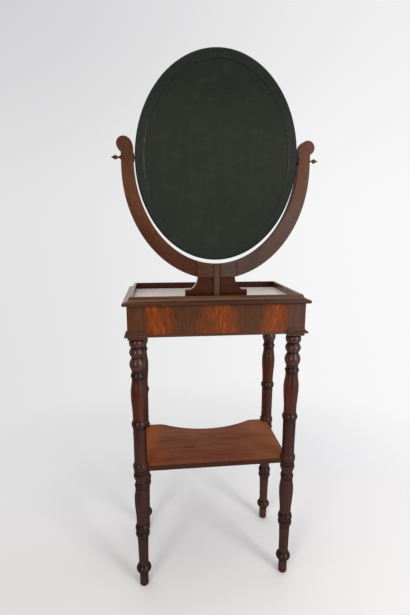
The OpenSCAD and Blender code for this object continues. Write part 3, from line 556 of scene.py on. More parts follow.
@dataclass(frozen=True)
class FlameVeneer:
    """Mahogany veneer cut through a fork of the tree, with bright flames between dark wood.

    Attributes:
        name: What the material is called.
        half: Half the panel's length.
        bottom: Height of its lower edge.
        height: Its height.
        seen: Where the panel is looked at from.
        flames: How bright the flames are along the panel, from its left end to its right.
        centre: Where the fibres stand upright, from -1 at one end to 1 at the other.
        wave: How far apart they stand upright again.
        lean: How far they lean in between.
        drift: How far they wander.
        shadow: Colours of the dark wood, and of its lighter streaks.
        ember: Colours of the bright wood, and of its brightest streaks.
        pores: Tint of the pores.
        coat: How thick the polish is.
        polish: How dull it is.
        density: Its index of refraction.
    """

    name: str
    half: float
    bottom: float
    height: float
    seen: Seen
    flames: tuple[Span, ...]
    centre: float = 0.05
    wave: float = 1.15
    lean: float = 0.08
    drift: float = 0.08
    shadow: tuple[Colour, ...] = (paint(66, 41, 27), paint(90, 56, 36), paint(104, 56, 32))
    ember: tuple[Colour, ...] = (paint(102, 42, 16), paint(138, 67, 27), paint(172, 90, 38))
    pores: Colour = paint(182, 158, 144)
    coat: float = 0.13
    polish: float = 0.16
    density: float = 2.0

    def along(self, recipe: Recipe, up: Signal) -> Signal:
        """Where a point's fibres come from, from -1 at the left end to 1 at the right.

        Args:
            recipe: The material's recipe.
            up: The point's height in the panel, from -0.5 to 0.5.

        Returns:
            The place along the panel.
        """
        point = recipe.place()
        x, _, _ = recipe.split(point)
        across = x * (self.seen.value / self.half)
        clouds = VENEER_CLOUDS.read(recipe, point)
        swing = recipe.calculate("SINE", (across - self.centre) * (2 * math.pi / self.wave))
        return across + swing * up * self.lean + clouds.about_zero(self.drift)

    def material(self) -> bpy.types.Material:
        """Makes the veneer's material.

        Returns:
            The material.
        """
        material, recipe = new_material(self.name)
        _, _, z = recipe.split(recipe.place())
        up = (z - self.bottom) / self.height - 0.5
        along = self.along(recipe, up)
        stops = [(place, (share, share, share, 1.0)) for place, share in self.flames]
        blaze = recipe.ramp(along * 0.5 + 0.5, stops)
        streaks = VENEER_STREAKS.read(recipe, recipe.join(along * 15.0, up * 0.7, 0.0))
        fine = VENEER_FIBRES.read(recipe, recipe.join(along * 60.0, up * 1.8, 3.0))
        mottle = VENEER_MOTTLE.read(recipe, recipe.join(along * 5.0, up * 1.6, 7.0))
        blaze = blaze + streaks.about_zero(0.75) + mottle.about_zero(0.8) + fine.about_zero(0.2)
        glow = recipe.step(blaze, 0.1, 1.05)
        darkest, dark, dusk = self.shadow
        shadow = recipe.mix(recipe.step(fine, 0.3, 0.7), darkest, dark)
        shadow = recipe.mix(recipe.step(streaks, 0.5, 0.66) * 0.6, shadow, dusk)
        warm, bright, spark = self.ember
        ember = recipe.mix(recipe.step(fine, 0.22, 0.76), warm, bright)
        colour = recipe.mix(glow, shadow, ember)
        colour = recipe.mix(recipe.step(glow * streaks, 0.42, 0.66) * 0.6, colour, spark)
        colour = recipe.tint(colour, self.pores, recipe.step(fine, 0.6, 0.72))
        shader = recipe.surface(
            colour,
            0.34 + fine.about_zero(0.15),
            Normal=recipe.bump(fine, 0.0001, 0.4),
            Specular_IOR_Level=0.0,
            Coat_Weight=self.coat,
            Coat_Roughness=self.polish,
            Coat_IOR=self.density,
        )
        recipe.finish(shader)
        return material


@dataclass(frozen=True)
class Metal:
    """A metal with its tarnish.

    Attributes:
        name: What the material is called.
        bright: Colour where it is rubbed.
        dull: Colour of the tarnish.
        roughness: How dull the rubbed metal is.
        metallic: 1 for bare metal, less under a stain.
    """

    name: str
    bright: Colour
    dull: Colour
    roughness: float = 0.35
    metallic: float = 1.0

    def material(self) -> bpy.types.Material:
        """Makes the metal's material, or gives the one that is there.

        Returns:
            The material.
        """
        known = bpy.data.materials.get(self.name)
        if known:
            return known
        material, recipe = new_material(self.name)
        point = recipe.place()
        scratches = SCRATCHES.read(recipe, point, Grain.DEEP)
        blotches = BLOTCHES.read(recipe, point) + scratches.about_zero(0.3)
        tarnish = recipe.step(blotches, 0.38, 0.62)
        shader = recipe.surface(
            recipe.mix(tarnish, self.bright, self.dull),
            self.roughness + tarnish * 0.2 + scratches.about_zero(0.15),
            Metallic=self.metallic,
            Normal=recipe.bump(scratches, 0.00008, 0.5),
        )
        recipe.finish(shader)
        return material


MAHOGANY = Wood("mahogany", paint(46, 22, 16), paint(84, 42, 28), paint(122, 66, 42))
LEG_MAHOGANY = Wood(
    "leg_mahogany",
    paint(38, 16, 9),
    paint(62, 29, 16),
    paint(92, 44, 25),
    coat=0.2,
    polish=0.3,
    dirt_and_shade=1.0,
)
DARK_MAHOGANY = Wood(
    "dark_mahogany",
    paint(54, 32, 22),
    paint(78, 50, 37),
    paint(98, 66, 51),
    contrast=0.8,
    dirt_and_shade=0.8,
)
RIM_MAHOGANY = Wood(
    "rim_mahogany",
    paint(58, 34, 22),
    paint(88, 55, 38),
    paint(108, 72, 52),
    coat=0.2,
    contrast=0.8,
)
ARM_MAHOGANY = Wood(
    "arm_mahogany",
    paint(62, 34, 22),
    paint(90, 54, 36),
    paint(108, 68, 47),
    coat=0.17,
    contrast=0.7,
    flecks=0.6,
)
BRACKET_MAHOGANY = Wood(
    "bracket_mahogany", paint(38, 16, 8), paint(59, 28, 14), paint(78, 39, 21), contrast=0.8
)
SHELF_MAHOGANY = Wood(
    "shelf_mahogany",
    paint(100, 56, 37),
    paint(133, 82, 60),
    paint(150, 98, 72),
    coat=0.08,
    polish=0.4,
    contrast=0.8,
)
TRAY_MAHOGANY = Wood(
    "tray_mahogany",
    paint(96, 58, 42),
    paint(118, 74, 56),
    paint(136, 90, 70),
    gloss=1.0,
    coat=1.0,
    polish=0.24,
    density=1.9,
    dust=1.0,
    painted_sheen=0.45,
    contrast=0.5,
)
POST_MAHOGANY = Wood(
    "post_mahogany",
    paint(52, 36, 25),
    paint(75, 52, 36),
    paint(92, 67, 50),
    coat=0.06,
    polish=0.4,
)
PALE_WOOD = Wood(
    "pale_wood",
    paint(112, 82, 54),
    paint(152, 118, 80),
    paint(182, 148, 106),
    coat=0.03,
    polish=0.6,
    pores=0.3,
)
BRASS = Metal("aged_brass", paint(196, 154, 84), paint(120, 88, 48), 0.26)
IRON = Metal("bronzed_iron", paint(70, 62, 56), paint(38, 32, 30), 0.36, 0.85)
BRONZE = Metal("dark_bronze", paint(126, 104, 76), paint(72, 57, 43), 0.36)


# ---- the stand's pieces -----------------------------------------------------------------

WELD_DISTANCE = 0.00001
# Faces that meet at less than this are one flat face.
FLAT_ANGLE = math.radians(0.4)


@dataclass
class Assembly:
    """A group of pieces that are dressed together.

    Attributes:
        nodes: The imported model's pieces by name.
        sawn: Radius by which a sawn edge is eased.
        planed: Radius by which a planed edge is eased.
        thin: Radius by which the edge of a thin piece is eased.
        crease: Angle above which an edge stays sharp, in degrees.
        dressed: The pieces that are finished so far.
    """

    nodes: dict[str, bpy.types.Object]
    sawn: float = 0.0007
    planed: float = 0.0004
    thin: float = 0.0002
    crease: float = 35.0
    dressed: list[str] = field(default_factory=list)

    def dress(self) -> None:
        """Finishes every piece of the group."""
        raise NotImplementedError

    def cover(self, name: str, material: bpy.types.Material, eased: float | None = None) -> None:
        """Gives a piece its material and eases its edges.

        Args:
            name: The piece.
            material: Its finish.
            eased: Radius of its edges, 0 for none. None takes the group's.
        """
        piece = self.nodes[name]
        piece.data.materials.clear()
        piece.data.materials.append(material)
        radius = self.sawn if eased is None else eased
        self.smooth(piece)
        if radius:
            flat = piece.modifiers.new("whole_faces", "DECIMATE")
            flat.decimate_type = "DISSOLVE"
            flat.angle_limit = FLAT_ANGLE
            bevel = piece.modifiers.new("eased_edges", "BEVEL")
            bevel.width = radius
            bevel.segments = 3
            bevel.limit_method = "ANGLE"
            bevel.angle_limit = math.radians(self.crease)
            bevel.harden_normals = True
        normals = piece.modifiers.new("even_normals", "WEIGHTED_NORMAL")
        normals.keep_sharp = True
        self.dressed.append(name)

    def cover_all(
        self, names: tuple[str, ...], material: bpy.types.Material, eased: float | None = None
    ) -> None:
        """Gives several pieces one material."""
        for name in names:
            self.cover(name, material, eased)

    def smooth(self, piece: bpy.types.Object) -> None:
        """Welds a piece's faces together and shades its curves smooth.

        Args:
            piece: The piece.
        """
        mesh = piece.data
        if mesh.attributes.get("custom_normal"):
            mesh.attributes.remove(mesh.attributes["custom_normal"])
        mesh.shade_smooth()
        weld = piece.modifiers.new("welded", "WELD")
        weld.merge_threshold = WELD_DISTANCE
        crease = piece.modifiers.new("creased", "NODES")
        crease.node_group = crease_group(self.crease)


def crease_group(degrees: float) -> bpy.types.NodeTree:
    """A geometry node group that shades edges sharp above an angle.

    Args:
        degrees: The angle.

    Returns:
        The group, made once for each angle.
    """
    name = f"sharp_above_{degrees:g}"
    known = bpy.data.node_groups.get(name)
    if known:
        return known
    group = bpy.data.node_groups.new(name, "GeometryNodeTree")
    for way in ("INPUT", "OUTPUT"):
        group.interface.new_socket("Geometry", in_out=way, socket_type="NodeSocketGeometry")
    start = group.nodes.new("NodeGroupInput")
    end = group.nodes.new("NodeGroupOutput")
    angle = group.nodes.new("GeometryNodeInputMeshEdgeAngle")
    compare = group.nodes.new("FunctionNodeCompare")
    compare.operation = "LESS_EQUAL"
    compare.inputs["B"].default_value = math.radians(degrees)
    shade = group.nodes.new("GeometryNodeSetShadeSmooth")
    shade.domain = "EDGE"
    group.links.new(start.outputs[0], shade.inputs["Geometry"])
    group.links.new(angle.outputs["Unsigned Angle"], compare.inputs["A"])
    group.links.new(compare.outputs["Result"], shade.inputs["Shade Smooth"])
    group.links.new(shade.outputs["Geometry"], end.inputs[0])
    return group


# How far out the post's groove edges lie, and how far from them the painted gap shade sets in.
POST_GROOVE = 0.0088
POST_SHADE_REACH = (0.0024, 0.0006)
POST_SHADE_TINT = paint(120, 104, 96)
# A grey painted reflection on faces towards the right-hand side.
PAINTED_REFLECTION = paint(88, 91, 93)


def shade_beside_post(recipe: Recipe, x: Signal, colour: Signal) -> Signal:
    """Darkens a colour by painted shade along the edges of the sliding post's groove."""
    return recipe.tint(colour, POST_SHADE_TINT, recipe.near(abs(x), POST_GROOVE, POST_SHADE_REACH))


@dataclass
class Legs(Assembly):
    """The four turned legs and the mouldings round their square heads.

    Attributes:
        head: Height at which the square heads begin.
        waist: Height below which the legs have lost their warm polish.
        lobes: Lower and upper heights of the lobes under the head.
        rings: Lower and upper heights of the turned rings, from the top down.
        groove: Distances from a groove between which its dirt and painted shade set in.
        ring_blur: How far a ring's tint fades out.
        warm_rise: Heights over the waist between which the warm polish sets in.
        warm_end: Heights over the waist between which it ends.
        blur: How blurred the waist and the end of the lobes are.
        warm: Colour of the polish over the waist.
        worn: Colours under the waist, on the rear and the front legs.
        pale: Colour of the worn lobes.
        square: Colours of the square heads.
        ring_tint: Tint of the rings.
        groove_dirt_and_shade_tint: Tint of the dirt and painted shade in the grooves.
    """

    head: float = 0.774
    waist: float = 0.525
    lobes: tuple[Span, ...] = ((0.7495, 0.773), (0.7208, 0.7495), (0.685, 0.7208))
    rings: tuple[Span, ...] = (
        (0.6623, 0.6765),
        (0.5163, 0.5388),
        (0.3755, 0.3868),
        (0.3287, 0.3458),
        (0.1880, 0.2108),
        (0.1666, 0.1880),
        (0.0432, 0.0724),
    )
    groove: Span = (0.0032, 0.0008)
    ring_blur: float = 0.003
    warm_rise: Span = (-0.01, 0.03)
    warm_end: Span = (0.15, 0.07)
    blur: float = 0.004
    warm: Colour = paint(84, 32, 12)
    worn: tuple[Colour, Colour] = (paint(50, 29, 24), paint(72, 40, 30))
    pale: Colour = paint(92, 52, 38)
    square: tuple[Colour, Colour] = (paint(72, 38, 24), paint(90, 52, 35))
    ring_tint: Colour = paint(190, 172, 164)
    groove_dirt_and_shade_tint: Colour = paint(112, 88, 76)

    def grooves(self, recipe: Recipe, z: Signal) -> Value:
        """Where dirt and painted shade lie between the lobes and beside the rings.

        Args:
            recipe: The leg's recipe.
            z: Height.

        Returns:
            The mask.
        """
        mask: Value = 0.0
        for low, high in self.lobes + self.rings:
            for edge in (low, high):
                mask = recipe.most(mask, recipe.near(z, edge, self.groove))
        return mask

    def ringed(self, recipe: Recipe, z: Signal) -> Value:
        """Where the rings are.

        Args:
            recipe: The leg's recipe.
            z: Height.

        Returns:
            The mask.
        """
        mask: Value = 0.0
        for low, high in self.rings:
            half = (high - low) / 2
            ring = recipe.near(z, (low + high) / 2, (half, half - self.ring_blur))
            mask = recipe.most(mask, ring)
        return mask

    def wood(self, seed: int) -> bpy.types.Material:
        """The polish of one leg: flat on the square head, warm in the middle, worn below.

        Args:
            seed: The leg's number.

        Returns:
            The material.
        """
        material, recipe = new_material(f"leg_polish_{seed}")
        colour, height, streaks = LEG_MAHOGANY.figure(recipe, Grain.UPRIGHT, seed)
        x, y, z = recipe.split(recipe.place())
        over_waist = z - self.waist
        warm = recipe.step(over_waist, *self.warm_rise) * recipe.step(over_waist, *self.warm_end)
        colour = recipe.mix(warm * 0.45, colour, self.warm)
        lower = recipe.above(z, self.waist, -self.blur)
        worn = recipe.mix(recipe.above(y, 0.0, 0.1), *self.worn)
        colour = recipe.mix(lower * 0.6, colour, worn)
        upper = recipe.above(z, self.lobes[-1][0], self.blur)
        colour = recipe.mix(upper * 0.3, colour, self.pale)
        rings = self.ringed(recipe, z)
        colour = recipe.tint(colour, self.ring_tint, rings)
        # Dirt and painted shade in the grooves.
        colour = recipe.tint(colour, self.groove_dirt_and_shade_tint, self.grooves(recipe, z))
        flat = recipe.mix(recipe.step(streaks, 0.35, 0.65), *self.square)
        # A painted reflection on the square heads of the right-hand legs.
        flat = recipe.mix(recipe.above(x, 0.0, 0.1) * 0.15, flat, PAINTED_REFLECTION)
        square = recipe.above(z, self.head, 0.001)
        colour = recipe.mix(square, colour, flat)
        coat = 1.0 - lower * 0.25 - square * 0.7 + rings * 0.15 + upper * 0.4
        outline = recipe.step(recipe.low_angle(), 0.5, 0.95) * (1.0 - square)
        coat = LEG_MAHOGANY.coat * coat * (1.0 - outline * 0.85)
        LEG_MAHOGANY.polished(recipe, colour, height, streaks, coat)
        return material

    def dress(self) -> None:
        """Finishes legs and mouldings."""
        for seed, place in enumerate(("rear_left", "rear_right", "front_left", "front_right")):
            self.cover(f"leg_{place}", self.wood(seed), eased=0)
        mouldings = ("head_mouldings_rear", "head_mouldings_front")
        self.cover_all(mouldings, DARK_MAHOGANY.material(Grain.SIDEWAYS, 3), self.planed)


@dataclass
class Frieze(Assembly):
    """The box under the tray: rails, veneer, beads and the drawer's bearers.

    Attributes:
        half: Half the length of the rear panel.
        bottom: Height of its lower edge.
        height: Its height.
        flames: How bright its flames are, from its left end to its right.
    """

    half: float = 0.193
    bottom: float = 0.788
    height: float = 0.077
    flames: tuple[Span, ...] = (
        (0.0, 0.35), (0.05, 0.85), (0.10, 1.0), (0.125, 0.45), (0.16, 0.75), (0.22, 0.1),
        (0.33, 0.05), (0.385, 0.55), (0.45, 0.6), (0.54, 0.85), (0.60, 0.6), (0.66, 0.25),
        (0.72, 0.02), (0.79, 0.1), (0.84, 0.65), (0.89, 0.9), (0.95, 0.8), (1.0, 0.5),
    )

    def dress(self) -> None:
        """Finishes the frieze."""
        rear = FlameVeneer(
            "flame_rear", self.half, self.bottom, self.height, Seen.FROM_BEHIND, self.flames
        )
        self.cover("rear_veneer", rear.material(), self.thin)
        sides = MAHOGANY.material(Grain.DEEP, 5)
        self.cover_all(("left_veneer", "right_veneer"), sides, self.thin)
        self.cover_all(("left_rail", "right_rail"), PALE_WOOD.material(Grain.DEEP, 2))
        self.cover("rear_rail", PALE_WOOD.material(Grain.SIDEWAYS, 2))
        rails = ("drawer_rail_upper", "drawer_rail_lower")
        self.cover_all(rails, MAHOGANY.material(Grain.SIDEWAYS, 7))
        self.cover("frieze_beads", DARK_MAHOGANY.material(Grain.SIDEWAYS, 4), eased=0)
        bearers = ("drawer_runners", "drawer_guides", "drawer_kickers")
        self.cover_all(bearers, PALE_WOOD.material(Grain.DEEP, 4))
        self.cover_all(("drawer_stops", "glue_blocks"), PALE_WOOD.material(Grain.SIDEWAYS, 6))


@dataclass
class Tray(Assembly):
    """The tray with its rim, and the bracket that holds the sliding post.

    Attributes:
        lip_top: Height of the rounded lip's upper edge.
        lip_edge: Height at which the lip has been knocked.
        side_coat: How thick the polish of the rims at the sides is.
        end_coat: How much thicker the polish is on the bracket's hollow ends.
        worn_edge: Radius of the bracket's edges.
        lip_tint: Tint of the lip.
        inner_shade_tint: Tint of the rim's inner face, a painted shade.
        chip: Colour of the bare wood in the knocks.
        side: Paler colour that the side rims are mixed towards, a painted reflection.
    """

    lip_top: float = 0.875
    lip_edge: float = 0.867
    side_coat: float = 0.75
    end_coat: float = 0.8
    worn_edge: float = 0.0009
    lip_tint: Colour = paint(200, 188, 180)
    inner_shade_tint: Colour = paint(190, 140, 116)
    chip: Colour = paint(186, 158, 132)
    side: Colour = paint(126, 80, 58)

    def rim(self, grain: Grain) -> bpy.types.Material:
        """The rim's polish: paler on top, painted shade inside, a painted reflection on the sides.

        Args:
            grain: The way the rim runs.

        Returns:
            The material.
        """
        material, recipe = new_material(f"rim_polish_{grain.name.lower()}")
        colour, height, streaks = RIM_MAHOGANY.figure(recipe, grain, 2)
        x, y, z = recipe.split(recipe.place())
        to_right, to_front, _ = recipe.facing()
        # Painted shade on the faces that look into the tray.
        inner = recipe.step(x * to_right + y * to_front, -0.03, -0.1)
        lip = recipe.step(z, self.lip_top + 0.001, self.lip_top)
        colour = recipe.tint(colour, self.lip_tint, lip)
        colour = recipe.tint(colour, self.inner_shade_tint, inner)
        chips = recipe.step(CHIPS.read(recipe, recipe.place()), 0.69, 0.73)
        knocked = recipe.near(z, self.lip_edge, (0.003, 0.001))
        colour = recipe.mix(chips * knocked * 0.7, colour, self.chip)
        coat = RIM_MAHOGANY.coat
        if grain is Grain.DEEP:
            coat = self.side_coat
            # The side rims made paler: a painted reflection.
            colour = recipe.mix(0.5, colour, self.side)
        RIM_MAHOGANY.polished(recipe, colour, height, streaks, coat)
        return material

    def bracket(self) -> bpy.types.Material:
        """The bracket's polish, thick on its hollow ends, with painted shade beside the post.

        Returns:
            The material.
        """
        material, recipe = new_material("bracket_polish")
        colour, height, streaks = BRACKET_MAHOGANY.figure(recipe, Grain.SIDEWAYS, 8)
        x, _, _ = recipe.split(recipe.place())
        to_right, _, _ = recipe.facing()
        coat = BRACKET_MAHOGANY.coat + recipe.step(abs(to_right), 0.15, 0.5) * self.end_coat
        # Painted shade in the gaps beside the post.
        colour = shade_beside_post(recipe, x, colour)
        BRACKET_MAHOGANY.polished(recipe, colour, height, streaks, coat)
        return material

    def dress(self) -> None:
        """Finishes tray and bracket."""
        self.cover("tray_board", TRAY_MAHOGANY.material(Grain.SIDEWAYS, 1))
        self.cover_all(("rim_rear", "rim_front"), self.rim(Grain.SIDEWAYS), self.planed)
        self.cover_all(("rim_left", "rim_right"), self.rim(Grain.DEEP), self.planed)
        self.cover("bracket", self.bracket(), self.worn_edge)
        self.cover("bracket_screws", IRON.material(), self.thin)
        self.cover("clamp_screw", BRASS.material(), eased=0)


@dataclass
class Shelf(Assembly):
    """The shelf between the legs.

    Attributes:
        rounded: Radius of its edges.
        border: How far in from its edges the upper face is darkened.
        knot: Place of a small knot, over the floor plan.
        bleached: Colour of the left end.
        rubbed: Colour of the right end.
        edge_dark: Colour that the upper face darkens to along its edges.
        painted_edge_shade: Colour of the painted shade on the rounded edges.
        rear_tint: Tint of the rear half.
        knot_tint: Tint of the knot.
    """

    rounded: float = 0.003
    border: float = 0.008
    knot: Span = (-0.074, -0.035)
    bleached: Colour = paint(156, 86, 42)
    rubbed: Colour = paint(158, 100, 66)
    edge_dark: Colour = paint(58, 32, 20)
    painted_edge_shade: Colour = paint(50, 25, 15)
    rear_tint: Colour = paint(228, 208, 204)
    knot_tint: Colour = paint(170, 146, 156)

    def wood(self) -> bpy.types.Material:
        """The shelf's dry polish, bleached at its ends and dark along its edges.

        Returns:
            The material.
        """
        material, recipe = new_material("shelf_polish")
        colour, height, streaks = SHELF_MAHOGANY.figure(recipe, Grain.SIDEWAYS, 9)
        x, y, _ = recipe.split(recipe.place())
        left_end = recipe.step(recipe.ragged(x, 18.0, 0.1), -0.14, -0.18)
        colour = recipe.mix(left_end * 0.75, colour, self.bleached)
        rear = recipe.step(recipe.ragged(y, 9.0, 0.1), 0.03, -0.08)
        colour = recipe.tint(colour, self.rear_tint, rear)
        right_end = recipe.step(recipe.ragged(x, 14.0, 0.1), 0.06, 0.18)
        colour = recipe.mix(right_end * 0.5, colour, self.rubbed)
        # Darker along the edges of the upper face.
        edges = recipe.hollows(self.border, inside=True) * recipe.step(y, -0.09, -0.08)
        colour = recipe.mix(edges * 0.85, colour, self.edge_dark)
        knot_x, knot_y = self.knot
        out = recipe.length(recipe.join((x - knot_x) * 0.35, y - knot_y, 0.0))
        stain = recipe.step(recipe.ragged(out, 60.0, 0.012), 0.011, 0.001)
        colour = recipe.tint(colour, self.knot_tint, stain * 0.8)
        # Painted shade where the faces turn away from the top.
        _, _, upward = recipe.facing()
        colour = recipe.mix(recipe.step(upward, 0.99, 0.8) * 0.9, colour, self.painted_edge_shade)
        SHELF_MAHOGANY.polished(recipe, colour, height, streaks)
        return material

    def dress(self) -> None:
        """Finishes the shelf."""
        self.cover("shelf", self.wood(), self.rounded)
        self.cover("shelf_dowels", PALE_WOOD.material(Grain.SIDEWAYS, 1), eased=0)


@dataclass
class Drawer(Assembly):
    """The drawer of the user's side.

    Attributes:
        half: Half the length of its veneer.
        bottom: Height of the veneer's lower edge.
        height: The veneer's height.
        flames: How bright the veneer's flames are, from its left end to its right.
    """

    half: float = 0.1894
    bottom: float = 0.7973
    height: float = 0.0461
    flames: tuple[Span, ...] = (
        (0.0, 0.1), (0.10, 0.45), (0.18, 0.8), (0.26, 0.35), (0.36, 0.1), (0.44, 0.7),
        (0.50, 1.0), (0.56, 0.7), (0.64, 0.1), (0.74, 0.35), (0.82, 0.8), (0.90, 0.45),
        (1.0, 0.1),
    )

    def dress(self) -> None:
        """Finishes the drawer."""
        front = FlameVeneer(
            "flame_front",
            self.half,
            self.bottom,
            self.height,
            Seen.FROM_FRONT,
            self.flames,
            centre=0.0,
        )
        self.cover("drawer_front_veneer", front.material(), self.thin)
        self.cover("drawer_front", MAHOGANY.material(Grain.SIDEWAYS, 11))
        self.cover("drawer_cock_beads", DARK_MAHOGANY.material(Grain.SIDEWAYS, 5), eased=0)
        sides = ("drawer_side_left", "drawer_side_right")
        self.cover_all(sides, PALE_WOOD.material(Grain.DEEP, 8))
        self.cover("drawer_back", PALE_WOOD.material(Grain.SIDEWAYS, 9))
        self.cover("drawer_bottom", PALE_WOOD.material(Grain.SIDEWAYS, 10))
        self.cover("drawer_knobs", BRASS.material(), eased=0)


@dataclass
class Yoke(Assembly):
    """The sliding post and the yoke that it carries.

    Attributes:
        arm_turn: How far an arm's fibres lean out, in radians.
        joint: How far out the arms are glued to the middle block.
        darker_below: Heights between which an arm grows darker towards the bottom.
        head: Heights between which its round head begins.
        reflection_from: Places between which the painted reflection of the right side sets in.
        reflection_under: Heights between which it ends.
        post_edge: Radius of the post's edges.
        lower_tint: Tint of the yoke's lower part.
        head_tint: Tint of the left head.
        glue_tint: Tint of the glue lines.
    """

    arm_turn: float = math.radians(30)
    joint: float = 0.054
    darker_below: Span = (0.95, 1.2)
    head: Span = (1.2, 1.25)
    reflection_from: Span = (-0.05, 0.03)
    reflection_under: Span = (1.2, 1.08)
    post_edge: float = 0.0005
    lower_tint: Colour = paint(220, 212, 212)
    head_tint: Colour = paint(226, 230, 242)
    glue_tint: Colour = paint(70, 52, 44)

    def wood(self, name: str, grain: Grain, seed: int, turn: float) -> bpy.types.Material:
        """The yoke's polish, with dark glue lines where the arms meet the block.

        Args:
            name: The material's name.
            grain: The way the fibres run.
            seed: Another number gives another board.
            turn: Turns the fibres about +Y, in radians.

        Returns:
            The material.
        """
        material, recipe = new_material(name)
        colour, height, streaks = ARM_MAHOGANY.figure(recipe, grain, seed, turn)
        x, _, z = recipe.split(recipe.place())
        # Darker towards the bottom.
        low, high = self.darker_below
        colour = recipe.tint(colour, self.lower_tint, recipe.step(z, high, low))
        # Darker on the left head.
        left_head = recipe.step(z, *self.head) * recipe.step(x, 0.0, -0.1)
        colour = recipe.tint(colour, self.head_tint, left_head)
        # A painted reflection on the right side of the yoke.
        painted_reflection = recipe.step(x, *self.reflection_from) * recipe.step(z, *self.reflection_under)
        colour = recipe.mix(painted_reflection * 0.24, colour, PAINTED_REFLECTION)
        glue = recipe.near(abs(x), self.joint, (0.0016, 0.0004))
        colour = recipe.tint(colour, self.glue_tint, glue)
        # Painted shade in the gaps beside the post.
        colour = shade_beside_post(recipe, x, colour)
        ARM_MAHOGANY.polished(recipe, colour, height, streaks)
        return material

    def dress(self) -> None:
        """Finishes post, yoke and pivots."""
        self.cover("post", POST_MAHOGANY.material(Grain.UPRIGHT, 1), self.post_edge)
        block = self.wood("yoke_block_polish", Grain.SIDEWAYS, 6, 0.0)
        self.cover("yoke_block", block, self.planed)
        for side, turn in (("left", self.arm_turn), ("right", -self.arm_turn)):
            arm = self.wood(f"yoke_arm_polish_{side}", Grain.UPRIGHT, 7, turn)
            self.cover(f"yoke_arm_{side}", arm, self.planed)
            self.cover(f"pivot_screw_{side}", BRONZE.material(), eased=0)
        pins = PALE_WOOD.material(Grain.SIDEWAYS, 3)
        self.cover_all(("post_stop_pin", "yoke_dowels"), pins, eased=0)
        self.cover("pivot_washers", IRON.material(), self.thin)


